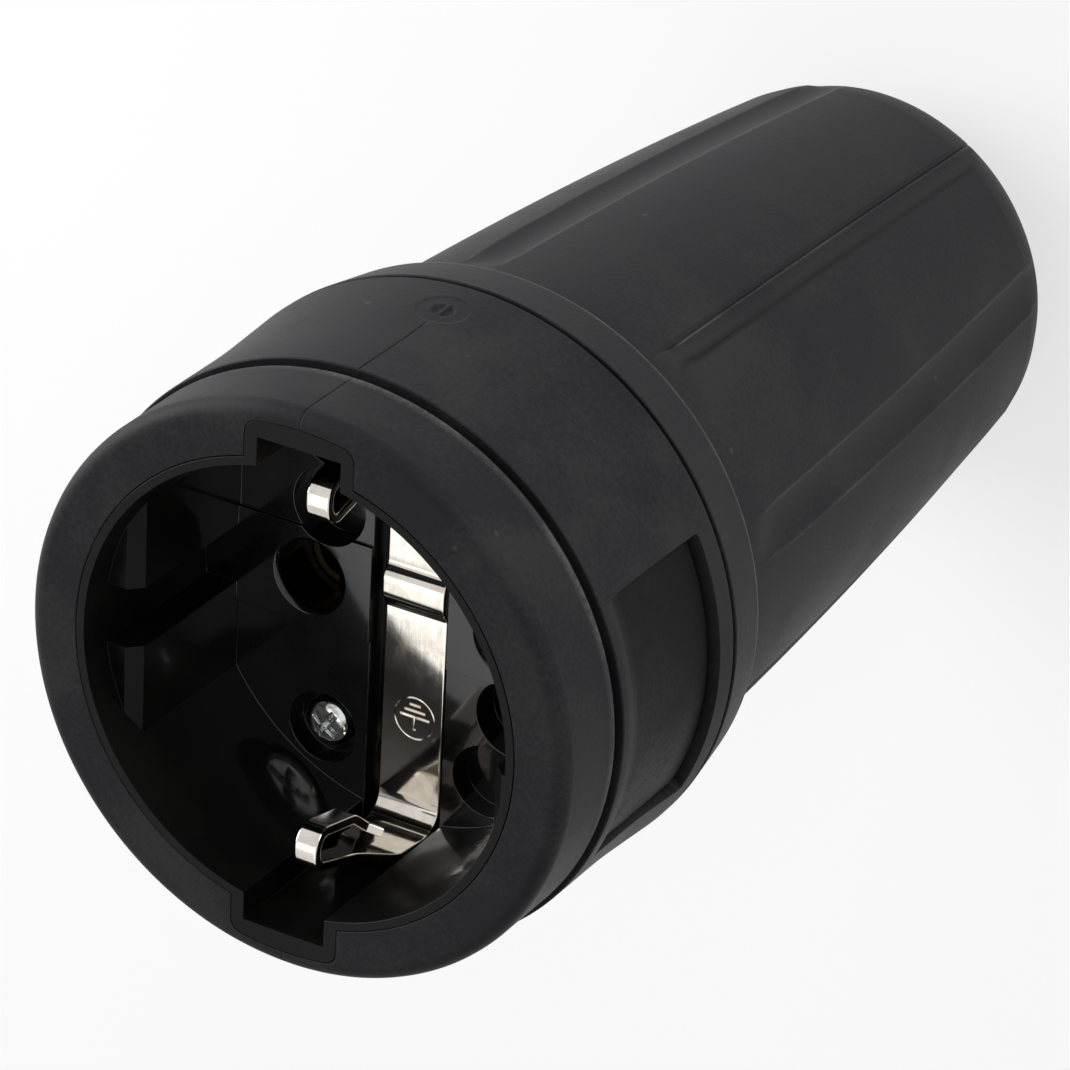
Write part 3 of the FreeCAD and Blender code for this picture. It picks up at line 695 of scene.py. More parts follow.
@dataclass
class Studio:
    """Floor, surroundings, lamps and the camera at the photograph's viewing angle."""

    camera_at: Place = (212.825, 229.193, 447.405)
    camera_turn: Place = (-26.2309, 30.4717, 3.1923)
    camera_clip: Span = (0.01, 50.0)
    lens: float = 199.406
    sensor: float = 36.0
    floor_half: float = 4000.0
    floor_colour: Colour = (0.86, 0.86, 0.86)
    floor_white: float = 0.65
    ambient: float = 0.5
    lamps: tuple[Softbox, ...] = (
        Softbox("key_softbox", (-540.0, 190.0, 230.0), 520.0, 5.6),
        Softbox("fill_softbox", (450.0, 500.0, 180.0), 500.0, 3.0),
        Softbox("top_softbox", (-160.0, -190.0, 760.0), 560.0, 0.7),
    )

    def set_up(self) -> None:
        """Makes the whole studio."""
        bpy.context.scene.view_settings.view_transform = "Standard"
        self.add_camera()
        for lamp in self.lamps:
            lamp.add()
        self.add_floor()
        self.add_surroundings()

    def add_camera(self) -> None:
        """Places the camera and makes it the scene's."""
        data = bpy.data.cameras.new("photo_camera")
        data.lens = self.lens
        data.sensor_width = self.sensor
        data.clip_start, data.clip_end = self.camera_clip
        camera = shown("photo_camera", data)
        camera.location = Vector(self.camera_at) * MM
        camera.rotation_euler = Euler([math.radians(turn) for turn in self.camera_turn])
        bpy.context.scene.camera = camera

    @staticmethod
    def plainly_seen(board: NodeBoard) -> Socket:
        """Socket that is 1 for what the camera, a reflection or a transmission sees, and 0 for light."""
        path = board.add("ShaderNodeLightPath").outputs
        return board.most(path["Is Camera Ray"], path["Is Glossy Ray"], path["Is Transmission Ray"])

    def add_floor(self) -> None:
        """Lays a pale floor that keeps the shadow and shows white to the eye and in reflections."""
        half = self.floor_half * MM
        corners = [(-half, -half, 0.0), (half, -half, 0.0), (half, half, 0.0), (-half, half, 0.0)]
        floor = new_piece("floor", corners, [(0, 1, 2, 3)])
        material = bpy.data.materials.new("pale_floor")
        material.use_nodes = True
        tree = material.node_tree
        tree.nodes.clear()
        board = NodeBoard(tree)
        share = board.times(self.plainly_seen(board), self.floor_white)
        matt = board.add("ShaderNodeBsdfDiffuse", {"Color": rgba(self.floor_colour)})
        white = board.add("ShaderNodeEmission", {"Strength": 1.0})
        mixed = board.add("ShaderNodeMixShader", {0: share, 1: matt.outputs[0], 2: white.outputs[0]})
        board.add("ShaderNodeOutputMaterial", {0: mixed.outputs[0]})
        floor.data.materials.append(material)

    def add_surroundings(self) -> None:
        """Makes the world a plain white that lights the connector less than it shows."""
        world = bpy.data.worlds.new("studio_world")
        bpy.context.scene.world = world
        world.use_nodes = True
        tree = world.node_tree
        tree.nodes.clear()
        board = NodeBoard(tree)
        strength = board.remapped(self.plainly_seen(board), UNIT, (self.ambient, 1.0))
        light = board.add("ShaderNodeBackground", {"Strength": strength})
        board.add("ShaderNodeOutputWorld", {0: light.outputs[0]})


# Rubber front shell

@dataclass
class FrontShell:
    """Rubber shell: ring, groove, slightly flared body, bare panel, moulding mark and parting lines."""

    lip_radius: float = 20.4
    lip_height: float = 1.45
    bore_radius: float = 21.05
    ring_radius: float = 24.95
    ring_length: float = 7.85
    ring_round: float = 1.3
    groove_width: float = 0.5
    groove_depth: float = 0.6
    groove_undercut: float = 0.1
    body_rise: float = 0.4
    flare_rise: float = 0.5
    flare_length: float = 8.3
    flare_round: float = 90.0
    depth: float = 25.2
    edge_round: float = 0.3
    seam_round: float = 0.14
    lip_round: float = 0.12
    notch_half: float = 5.03
    notch_reach: float = 23.5
    notch_corner: float = 1.2
    panel_half_angle: float = 27.0
    panel_front: float = 10.5
    panel_end: float = 23.1
    panel_floor: float = 24.9
    panel_corner: float = 0.5
    panel_edge: float = 0.07
    trench_width: float = 0.55
    trench_depth: float = 0.45
    mark_depth: float = 21.0
    mark_radius: float = 2.3
    mark_sink: float = 0.07
    dial_radius: float = 1.0
    dial_sink: float = 0.22
    pointer_half: float = 0.15
    line_sink: float = 0.12
    line_half: float = 0.1
    mark_fade: float = 0.3
    dial_fade: float = 0.25
    pointer_fade: float = 0.16
    # Pale band on the ring's rear edge: rubbing with a painted highlight.
    rub_highlight_width: float = 0.34
    rub_highlight_fade: float = 0.08
    rub_highlight_rows: int = 3
    wall_band: float = 2.2
    plain_run: float = 0.9
    mark_run: float = 0.15
    inner_run: float = 30.0
    plain_step: float = 1.5
    wall_step: float = 0.08
    wall_steps: int = 5
    line_step: float = 0.11
    line_steps: int = 6
    notch_start: float = 9.5
    notch_step: float = 0.28
    notch_steps: int = 22
    mark_step: float = 0.3
    mark_margin: float = 0.6

    def outline(self) -> list[Vector]:
        """Closed outline of the wall, from the lip outwards and down, with rows close where detail lies."""
        groove_end = self.ring_length + self.groove_width
        body = self.ring_radius + self.body_rise
        rear = body + self.flare_rise
        corners = [
            Corner(self.lip_radius, 0.0, self.lip_round),
            Corner(self.ring_radius, 0.0, self.ring_round),
            Corner(self.ring_radius, self.ring_length, self.edge_round),
            Corner(self.ring_radius - self.groove_depth, self.ring_length, self.lip_round),
            Corner(self.ring_radius - self.groove_depth, groove_end + self.groove_undercut, self.lip_round),
            Corner(body, groove_end, self.edge_round / 2),
            Corner(body, self.depth - self.flare_length, self.flare_round),
            Corner(rear, self.depth, self.seam_round),
            Corner(self.bore_radius, self.depth),
            Corner(self.bore_radius, self.lip_height),
            Corner(self.lip_radius, self.lip_height),
        ]
        return divided(rounded_outline(corners, closed=True), self.row_spacing, closed=True)

    def row_spacing(self, point: Vector) -> float:
        """Longest run allowed at a point of the outline."""
        if point.x < self.ring_radius - self.groove_depth:
            return self.inner_run
        walls = (self.panel_front, self.panel_end, self.panel_end - self.trench_width)
        if min(abs(point.y - wall) for wall in walls) < self.wall_band * self.panel_edge:
            return self.panel_edge / 2
        if abs(point.y - self.mark_depth) < self.mark_radius + self.panel_edge:
            return self.mark_run
        if abs(point.y - self.ring_length) < self.rub_highlight_rows * self.rub_highlight_width:
            return self.rub_highlight_width / self.rub_highlight_rows
        return self.plain_run

    def columns(self) -> list[float]:
        """Angles of the columns, close together at the panel's ends, notches, mark and parting lines."""
        turns = [step * self.plain_step for step in range(round(360.0 / self.plain_step))]
        trench = math.degrees(self.trench_width / self.ring_radius) - self.panel_half_angle
        for wall in (-self.panel_half_angle, self.panel_half_angle, trench):
            turns += spread(wall, self.wall_step, self.wall_steps)
        for parting in (-90.0, 90.0):
            turns += spread(parting, self.line_step, self.line_steps)
            for step in range(self.notch_steps):
                off = self.notch_start + step * self.notch_step
                turns += [parting - off, parting + off]
        mark_span = math.degrees(self.mark_radius / self.ring_radius) + self.mark_margin
        mark_steps = int(2 * mark_span / self.mark_step) + 1
        turns += [90.0 - mark_span + step * self.mark_step for step in range(mark_steps)]
        placed = sorted({round(turn % 360.0, 2) for turn in turns})
        return [math.radians(turn) for turn in placed]

    def notch(self, angle: float) -> float:
        """Reach of the notch's wall in a direction, or 0 away from the notches."""
        off = abs(wrapped(2 * angle + math.pi)) / 2
        middle_x = self.notch_half - self.notch_corner
        middle_y = math.sqrt((self.notch_reach - self.notch_corner) ** 2 - middle_x ** 2)
        if off < math.atan2(middle_x, middle_y):
            return self.notch_reach
        if off < math.atan2(self.notch_half, middle_y):
            along = middle_x * math.sin(off) + middle_y * math.cos(off)
            short = middle_x ** 2 + middle_y ** 2 - self.notch_corner ** 2
            return along + math.sqrt(max(along ** 2 - short, 0.0))
        return self.notch_half / math.sin(off) if off < math.pi / 2 else 0.0

    def trench(self, depth: float, angle: float) -> float:
        """How far the trench along the panel's rear wall and lower end sinks its floor at a point."""
        from_rear = self.panel_end - depth
        from_end = (wrapped(angle) + math.radians(self.panel_half_angle)) * self.ring_radius
        inside = self.trench_width - min(from_rear, from_end)
        return self.trench_depth * eased(-self.panel_edge, self.panel_edge, inside)

    def panel_share(self, depth: float, angle: float) -> float:
        """Share of the panel's full sink at a point of the shell's side."""
        half_long = math.radians(self.panel_half_angle) * self.ring_radius - self.panel_corner
        half_deep = (self.panel_end - self.panel_front) / 2 - self.panel_corner
        along = abs(wrapped(angle)) * self.ring_radius - half_long
        down = abs(depth - (self.panel_front + self.panel_end) / 2) - half_deep
        outside = math.hypot(max(along, 0.0), max(down, 0.0)) + min(max(along, down), 0.0)
        return eased(self.panel_edge, -self.panel_edge, outside - self.panel_corner)

    def mark_drop(self, depth: float, angle: float) -> float:
        """How far the moulding mark sinks the side at a point."""
        across = wrapped(angle - math.pi / 2) * self.ring_radius
        down = depth - self.mark_depth
        out = math.hypot(across, down)
        drop = self.mark_sink * eased(self.mark_radius, self.mark_radius - self.mark_fade, out)
        dial = self.dial_sink * eased(self.dial_radius, self.dial_radius - self.dial_fade, out)
        pointer = eased(self.pointer_half + self.pointer_fade, self.pointer_half, abs(across))
        return drop + dial * (1.0 - pointer)

    def shaped(self, reach: float, depth: float, angle: float) -> float:
        """Final reach of an outline's point in a direction.

        Args:
            reach: Reach on the plain outline.
            depth: Depth of the point.
            angle: Direction about the axis.

        Returns:
            The reach with notches, panel, mark and parting lines.
        """
        if reach < self.ring_radius - self.ring_round and depth != self.ring_length:
            return max(reach, self.notch(angle))
        share = self.panel_share(depth, angle)
        if share:
            reach -= share * (max(reach - self.panel_floor, 0.0) + self.trench(depth, angle))
        if depth > self.panel_front:
            reach -= self.mark_drop(depth, angle)
        off = abs(wrapped(2 * angle + math.pi)) / 2 * reach
        cut = max(1.0 - off / self.line_half, 0.0)
        return reach - (self.line_sink * cut if depth < self.mark_depth - self.mark_radius else 0.0)

    def marked(self, piece: Piece) -> None:
        """Marks on the mesh the ring's rear edge, pale from rubbing and a painted highlight, and the darker
        panel floor.
        """
        pale_wear_and_highlight = piece.data.attributes.new(WEAR_AND_HIGHLIGHT_MARK, "FLOAT", "POINT")
        dark = piece.data.attributes.new(DARK_PANEL_AND_SHADE_MARK, "FLOAT", "POINT")
        for vertex in piece.data.vertices:
            reach = math.hypot(vertex.co.x, vertex.co.y) / MM
            depth = FRONT - vertex.co.z / MM
            from_edge = self.ring_length - depth
            # The ring's rear edge is painted pale: rubbing with a painted highlight.
            if reach > self.ring_radius - self.edge_round and from_edge >= 0.0:
                wear_and_highlight = eased(self.rub_highlight_width + self.rub_highlight_fade, self.rub_highlight_width, from_edge)
                pale_wear_and_highlight.data[vertex.index].value = wear_and_highlight
            if reach > self.panel_floor - 2 * self.trench_depth:
                dark.data[vertex.index].value = self.panel_share(depth, math.atan2(vertex.co.y, vertex.co.x))

    def build(self, materials: Materials) -> None:
        """Makes the shell and puts it in its node's place."""
        piece = turned_ring("front_shell_rubber", self.outline(), self.columns(), self.shaped)
        sewn(piece, sharp_angle=50.0)
        self.marked(piece)
        handed_over(piece, materials, Slot.RUBBER, "front_shell")


# Rubber grip

@dataclass
class RearGrip:
    """Rubber grip: shoulder, step, bowed side with flutes, rounded end and cable entry."""

    front_depth: float = 25.65
    shoulder_radius: float = 25.85
    crease_radius: float = 25.0
    crease_depth: float = 30.9
    side_depth: float = 31.7
    side_radius: float = 23.2
    middle_depth: float = 60.85
    middle_radius: float = 21.675
    rear_depth: float = 90.0
    rear_radius: float = 19.15
    end_depth: float = FRONT
    end_round: float = 10.5
    entry_radius: float = 6.0
    entry_depth: float = FRONT - 11.0
    entry_round: float = 0.6
    cavity_radius: float = 19.9
    cavity_depth: float = 34.2
    cavity_end_radius: float = 15.85
    cavity_end_depth: float = 84.0
    edge_round: float = 0.3
    seam_round: float = 0.14
    foot_round: float = 0.35
    # Pale band at the crease: rubbing with a painted highlight where the sharp crease catches light.
    rub_highlight_width: float = 0.3
    rub_highlight_fade: float = 0.08
    columns: int = 960
    flute_count: int = 8
    flute_phase: float = 13.5
    flute_start: float = 38.5
    flute_width: float = 4.4
    flute_depth: float = 0.6
    flute_softness: float = 0.07
    # Pale bands along the flute edges: rubbing with painted highlights.
    flute_edge: float = 0.1
    flute_wear_and_highlight: float = 0.6
    line_phase: float = 58.5
    line_fill: float = 0.9
    line_sink: float = 0.2
    line_half: float = 0.16
    line_reach: float = 0.2
    # Painted highlight: a pale line just below the parting line on the grip.
    line_lip: float = 1.8
    # Painted shade along the lower edge of the flute under the parting line.
    painted_shade_edge: float = 0.3
    far_side: float = 500.0
    side_band: float = 3.5
    side_runs: int = 36
    seam_merge: float = 2e-6

    def bowed(self) -> Callable[[float], float]:
        """Reach of the bowed side at a depth, from the circle through its three points."""
        first = Vector((self.side_radius, self.side_depth))
        second = Vector((self.middle_radius, self.middle_depth))
        third = Vector((self.rear_radius, self.rear_depth))
        ahead = second - first
        beyond = third - first
        twice = 2 * (ahead.x * beyond.y - ahead.y * beyond.x)
        across = (beyond.y * ahead.length_squared - ahead.y * beyond.length_squared) / twice
        along = (ahead.x * beyond.length_squared - beyond.x * ahead.length_squared) / twice
        centre = first + Vector((across, along))
        radius = (first - centre).length
        return lambda depth: centre.x + math.sqrt(radius ** 2 - (depth - centre.y) ** 2)

    def outline(self) -> list[Vector]:
        """Closed outline from the front edge outwards, down the side, round the end and up the inside."""
        bow = self.bowed()
        span = self.end_depth - self.side_depth
        depths = [self.side_depth + span * step / self.side_runs for step in range(1, self.side_runs)]
        crease = Vector((self.crease_radius, self.crease_depth))
        shoulder = Vector((self.shoulder_radius, self.front_depth))
        back = (shoulder - crease).normalized()
        pale_wear_and_highlight = [crease + back * gap for gap in (self.rub_highlight_width + self.rub_highlight_fade, self.rub_highlight_width)]
        corners = [
            Corner(self.cavity_radius, self.front_depth),
            Corner(self.shoulder_radius, self.front_depth, self.seam_round),
            *(Corner(point.x, point.y) for point in pale_wear_and_highlight),
            Corner(self.crease_radius, self.crease_depth, self.edge_round),
            Corner(self.side_radius, self.side_depth, self.foot_round),
        ]
        corners += [Corner(bow(depth), depth) for depth in depths if depth < self.rear_depth]
        corners += [
            Corner(bow(self.end_depth), self.end_depth, self.end_round),
            Corner(self.entry_radius, self.end_depth, self.entry_round),
            Corner(self.entry_radius, self.entry_depth),
            Corner(self.cavity_end_radius, self.cavity_end_depth),
            Corner(self.cavity_radius, self.cavity_depth),
        ]
        return rounded_outline(corners, closed=True, steps=8)

    def profile_piece(self) -> Piece:
        """Object whose points are the outline, with the reach that a flute is sunk from at each."""
        bow = self.bowed()
        outline = self.outline()
        outline.append(outline[0].copy())
        piece = new_piece("rear_grip_rubber", [(row.x * MM, 0.0, level(row.y)) for row in outline], [])
        fluted = piece.data.attributes.new("flute_from", "FLOAT", "POINT")
        creased = piece.data.attributes.new("crease", "FLOAT", "POINT")
        for index, row in enumerate(outline):
            near_side = row.x > max(self.cavity_end_radius, bow(row.y) - self.side_band)
            outside = row.y >= self.crease_depth and near_side
            fluted.data[index].value = (bow(row.y) if outside else self.far_side) * MM
            # The crease's pale band: rubbing with a painted highlight.
            from_crease = math.hypot(row.x - self.crease_radius, row.y - self.crease_depth)
            if row.y <= self.crease_depth:
                wear_and_highlight = eased(self.rub_highlight_width + self.rub_highlight_fade, self.rub_highlight_width, from_crease)
                creased.data[index].value = wear_and_highlight
        return piece

    def tree(self) -> Tree:
        """Geometry Nodes tree that turns an outline about the axis and sinks flutes into it."""
        numbers = floats(
            "Flute Count", "Flute Phase", "Flute Start", "Rod Radius", "Flute Depth", "Softness", "Rubbed Highlight Edge",
            "Rubbed Highlight Share", "Line Phase", "Line Fill", "Line Reach", "Line Sink", "Line Half", "Painted Shade Edge")
        group = new_group(
            "fluted_grip", "GeometryNodeTree",
            {"Outline": "NodeSocketGeometry", "Columns": "NodeSocketInt", **numbers,
             "Finish": "NodeSocketMaterial"},
            {"Grip": "NodeSocketGeometry"})
        board = NodeBoard(group)
        given = board.add("NodeGroupInput").outputs
        outline = given["Outline"]
        rows = board.add("GeometryNodeAttributeDomainSize", {0: outline}).outputs["Point Count"]
        grid = board.add("GeometryNodeMeshGrid", {
            "Vertices X": board.plus(given["Columns"], 1.0), "Vertices Y": rows}).outputs[0]
        number = board.add("GeometryNodeInputIndex").outputs[0]
        column = board.math("FLOOR", board.math("DIVIDE", board.plus(number, 0.5), rows))
        row = board.minus(number, board.times(column, rows))
        place = board.add("GeometryNodeInputPosition").outputs[0]
        point = board.sampled(outline, place, row, "FLOAT_VECTOR")
        from_reach = board.sampled(outline, board.named("flute_from"), row, "FLOAT")
        crease = board.sampled(outline, board.named("crease"), row, "FLOAT")
        parts = board.add("ShaderNodeSeparateXYZ", {0: point}).outputs
        turn = board.times(board.math("DIVIDE", column, given["Columns"]), math.tau)
        reach, edge, dark = self.fluted_reach(board, given, parts, from_reach, turn)
        # Stores the pale edges: rubbing with painted highlights.
        marked = board.stored(grid, WEAR_AND_HIGHLIGHT_MARK, board.most(edge, crease))
        # Stores the painted shade of the flute under the parting line.
        marked = board.stored(marked, DARK_PANEL_AND_SHADE_MARK, dark)
        moved = board.add("GeometryNodeSetPosition", {
            "Geometry": marked, "Position": board.polar(reach, turn, parts["Z"])}).outputs[0]
        closed = board.add("GeometryNodeMergeByDistance", {
            "Geometry": moved, "Distance": self.seam_merge}).outputs[0]
        outward = board.add("GeometryNodeFlipFaces", {0: closed}).outputs[0]
        smooth = board.add("GeometryNodeSetShadeSmooth", {"Geometry": outward}).outputs[0]
        board.put_out(smooth, given["Finish"])
        return group

    def fluted_reach(
        self,
        board: NodeBoard,
        given: Outputs,
        parts: Outputs,
        from_reach: Socket,
        turn: Socket,
    ) -> tuple[Socket, Socket, Socket]:
        """Nodes for the reach of a point with its flute and the parting line, and for the tone of its edges.

        Args:
            board: Board of the tree.
            given: Sockets of the tree's inputs.
            parts: Reach and height of the outline's point, as X and Z.
            from_reach: Reach that a flute is sunk from there.
            turn: Direction of the point.

        Returns:
            Sockets with the final reach, the pale edges from rubbing with painted highlights, and the painted
            shade along the lower edge of the flute with the line.
        """
        half_pitch = board.math("DIVIDE", math.pi, given["Flute Count"])
        from_flute = board.minus(turn, given["Flute Phase"])
        off_turn = board.math("WRAP", from_flute, half_pitch, board.times(half_pitch, -1.0))
        off = board.times(parts["X"], board.math("SINE", off_turn))
        before = board.most(board.minus(parts["Z"], given["Flute Start"]), 0.0)
        away = board.plus(board.times(off, off), board.times(before, before))
        rod = given["Rod Radius"]
        left = board.most(board.minus(board.times(rod, rod), away), 0.0)
        rise = board.minus(rod, given["Flute Depth"], board.math("SQRT", left))
        from_line = board.minus(turn, given["Line Phase"])
        line_turn = board.math("WRAP", from_line, math.pi / 2, -math.pi / 2)
        above = board.math("GREATER_THAN", line_turn, 0.0)
        close = board.math("LESS_THAN", line_turn, given["Line Reach"])
        fill = board.times(above, close, given["Line Fill"])
        floor = board.plus(from_reach, rise, fill)
        sunk = board.math("SMOOTH_MIN", parts["X"], floor, given["Softness"])
        line_off = board.math("DIVIDE", board.times(parts["X"], line_turn), given["Line Half"])
        near = board.minus(1.0, board.math("ABSOLUTE", line_off))
        cut = board.times(board.most(near, 0.0), given["Line Sink"])
        on_side = board.math("LESS_THAN", from_reach, self.far_side * MM / 2)
        reach = board.minus(sunk, board.times(cut, on_side))
        # Pale bands along the flute edges: rubbing with painted highlights.
        apart = board.math("ABSOLUTE", board.minus(parts["X"], floor))
        edge = board.minus(1.0, board.math("DIVIDE", apart, given["Rubbed Highlight Edge"]))
        apart_line = board.math("GREATER_THAN", board.math("ABSOLUTE", line_turn), given["Line Reach"])
        flute_wear_and_highlight = board.times(edge, given["Rubbed Highlight Share"], apart_line)
        # Painted highlight: a pale line just below the parting line, where no ridge is modelled.
        under = board.math("ABSOLUTE", board.plus(line_off, self.line_lip))
        fluted = board.math("LESS_THAN", parts["Z"], given["Flute Start"])
        lip = board.times(board.minus(1.0, under), fluted)
        wear_and_highlight = board.most(flute_wear_and_highlight, lip, 0.0)
        # Painted shade: darkens the lower edge of the flute that the parting line runs through.
        below = board.minus(1.0, board.most(apart_line, above))
        depth = board.minus(1.0, board.math("DIVIDE", apart, given["Painted Shade Edge"]))
        dark = board.times(board.most(depth, 0.0), below, on_side)
        return reach, board.times(wear_and_highlight, on_side), dark

    def build(self, materials: Materials) -> None:
        """Makes the grip and puts it in its node's place."""
        rod = (self.flute_width ** 2 / 4 + self.flute_depth ** 2) / (2 * self.flute_depth)
        piece = self.profile_piece()
        grown(piece, self.tree(), {
            "Columns": self.columns, "Flute Count": float(self.flute_count),
            "Flute Phase": math.radians(self.flute_phase), "Flute Start": level(self.flute_start),
            "Rod Radius": rod * MM, "Flute Depth": self.flute_depth * MM,
            "Softness": self.flute_softness * MM, "Rubbed Highlight Edge": self.flute_edge * MM, "Rubbed Highlight Share": self.flute_wear_and_highlight,
            "Line Phase": math.radians(self.line_phase), "Line Fill": self.line_fill * MM,
            "Line Reach": self.line_reach, "Line Sink": self.line_sink * MM, "Line Half": self.line_half * MM,
            "Painted Shade Edge": self.painted_shade_edge * MM, "Finish": materials[Slot.RUBBER],
        })
        handed_over(piece, materials, Slot.RUBBER, "rear_grip")


def grown(piece: Piece, group: Tree, values: dict[str, object]) -> None:
    """Runs a Geometry Nodes tree on a piece and keeps the result as its mesh.

    Args:
        piece: Object that the tree starts from.
        group: The tree.
        values: Value of each input, by its name in the tree.
    """
    modifier = piece.modifiers.new(group.name, "NODES")
    modifier.node_group = group
    for item in group.interface.items_tree:
        if item.item_type == "SOCKET" and item.in_out == "INPUT" and item.name in values:
            modifier[item.identifier] = values[item.name]
    baked(piece)


# Moulded insert

@dataclass
class SocketInsert:
    """Glossy moulded insert with softened edges."""

    edge_round: float = 0.07
    edge_steps: int = 2
    edge_angle: float = 32.0
    flat_angle: float = 0.6
    area_weight: int = 60
    join: float = 1e-6

    def build(self, materials: Materials) -> None:
        """Makes the insert from its node's shape and puts it in the node's place."""
        source = frame["nodes"]["socket_insert"]
        piece = shown("socket_insert_moulding", source.data.copy())
        mesh = bmesh.new()
        mesh.from_mesh(piece.data)
        bmesh.ops.remove_doubles(mesh, verts=mesh.verts, dist=self.join)
        bmesh.ops.dissolve_limit(
            mesh, angle_limit=math.radians(self.flat_angle), verts=mesh.verts, edges=mesh.edges,
            use_dissolve_boundaries=False)
        for face in mesh.faces:
            face.smooth = True
        mesh.to_mesh(piece.data)
        mesh.free()
        bevel = piece.modifiers.new("soft_edges", "BEVEL")
        bevel.width = self.edge_round * MM
        bevel.segments = self.edge_steps
        bevel.limit_method = "ANGLE"
        bevel.angle_limit = math.radians(self.edge_angle)
        bevel.use_clamp_overlap = False
        flat = piece.modifiers.new("flat_faces", "WEIGHTED_NORMAL")
        flat.mode = "FACE_AREA"
        flat.weight = self.area_weight
        baked(piece)
        handed_over(piece, materials, Slot.INSERT, "socket_insert")


# Earth bracket

@dataclass
class EarthBracket:
    """Plated strip with a pressed bead, two spring clips, a stamped earth sign and its rivet."""

    width: float = 5.9
    clip_width: float = 2.1
    thickness: float = 0.8
    edge: float = 0.16
    edge_hold: float = 0.05
    edge_steps: int = 3
    bend_hold: float = 0.02
    bend_steps: int = 9
    longest_run: float = 0.6
    low: float = 19.4
    leg_reach: float = 20.9
    leg_bend: float = 2.4
    knee_reach: float = 20.2
    knee_depth: float = 13.0
    knee_bend: float = 6.0
    clip_front: float = 3.4
    clip_outer: float = 17.0
    clip_inner: float = 13.9
    curl_bend: float = 1.302
    face_reach: float = 15.2
    face_depth: float = 9.0
    face_bend: float = 1.5
    tail_depth: float = 11.4
    tail_reach: float = 17.2
    shoulder_depth: float = 13.4
    neck_depth: float = 8.8
    bead_start: float = 0.1
    bead_end: float = 2.0
    bead_rise: float = 0.7
    bead_bend: float = 1.1
    sign_at: Span = (0.25, -10.7)
    sign_radius: float = 1.9
    sign_ring: float = 0.1
    sign_bar: float = 0.16
    sign_lift: float = 0.03
    sign_steps: int = 64
    sign_bars: tuple[Span, ...] = ((0.74, 0.05), (0.52, 0.34), (0.28, 0.63))
    sign_stem: float = -0.6
    rivet_at: float = 9.5
    rivet_radius: float = 2.0
    rivet_shank: float = 1.2
    rivet_rise: float = 0.7
    rivet_tail: float = 0.8
    rivet_rows: int = 12
    rivet_columns: int = 64

    def middle_line(self) -> list[Vector]:
        """Middle line (Y, depth) of the whole strip, from one clip's tail to the other's."""
        side = [
            Corner(self.leg_reach, self.low, self.leg_bend),
            Corner(self.knee_reach, self.knee_depth, self.knee_bend),
            Corner(self.clip_outer, self.clip_front, self.curl_bend),
            Corner(self.clip_inner, self.clip_front, self.curl_bend),
            Corner(self.face_reach, self.face_depth, self.face_bend),
            Corner(self.tail_reach, self.tail_depth),
        ]
        high = self.low - self.bead_rise
        bead = [
            Corner(self.bead_start - self.bead_rise, self.low, self.bead_bend),
            Corner(self.bead_start, high, self.bead_bend),
            Corner(self.bead_end, high, self.bead_bend),
            Corner(self.bead_end + self.bead_rise, self.low, self.bead_bend),
        ]
        mirrored = [Corner(-corner.u, corner.v, corner.rounding) for corner in reversed(side)]
        corners = mirrored + bead + side
        line = rounded_outline(corners, closed=False, steps=self.bend_steps, hold=self.bend_hold)
        return divided(line, lambda point: self.longest_run, closed=False)

    def half_width(self, point: Vector) -> float:
        """Half the strip's width at a point of its middle line, narrowing from the leg to the clip."""
        share = eased(self.shoulder_depth, self.neck_depth, point.y)
        if abs(point.x) <= self.tail_reach and point.y <= self.tail_depth:
            share = 1.0
        return (self.width + (self.clip_width - self.width) * share) / 2

    def section(self, half_width: float) -> list[tuple[float, float]]:
        """Cross-section (X, height over the middle line) with rounded edges."""
        half = self.thickness / 2
        ends = ((half_width, -half), (half_width, half), (-half_width, half), (-half_width, -half))
        corners = [Corner(across, rise, self.edge) for across, rise in ends]
        outline = rounded_outline(corners, True, self.edge_steps, self.edge_hold)
        return [(point.x, point.y) for point in outline]

    def strip(self) -> Piece:
        """Strip swept along its middle line."""
        line = self.middle_line()
        vertices = []
        for index, here in enumerate(line):
            ahead = line[min(index + 1, len(line) - 1)] - line[max(index - 1, 0)]
            ahead.normalize()
            over = Vector((ahead.y, -ahead.x))
            for across, rise in self.section(self.half_width(here)):
                point = here + over * rise
                vertices.append((across * MM, point.x * MM, level(point.y)))
        total = len(vertices)
        count = total // len(line)
        faces = grid_faces(len(line), count, False, True)
        faces += [tuple(range(count)), tuple(range(total - count, total))]
        piece = new_piece("earth_bracket_strip", vertices, faces)
        sewn(piece, sharp_angle=60.0)
        return piece

    def sign_lines(self) -> list[tuple[list[Vector], float]]:
        """Runs of the stamped earth sign in the strip's plane, circle first, each with its half-width."""
        radius = self.sign_radius
        turns = [math.tau * step / self.sign_steps for step in range(self.sign_steps)]
        circle = [Vector((math.cos(turn), math.sin(turn))) * radius for turn in turns]
        stem = [Vector((0.0, 0.0)), Vector((0.0, self.sign_stem)) * radius]
        bars = [[Vector((side * half, high)) * radius for side in (-1, 1)] for half, high in self.sign_bars]
        return [(circle, self.sign_ring)] + [(run, self.sign_bar) for run in (stem, *bars)]

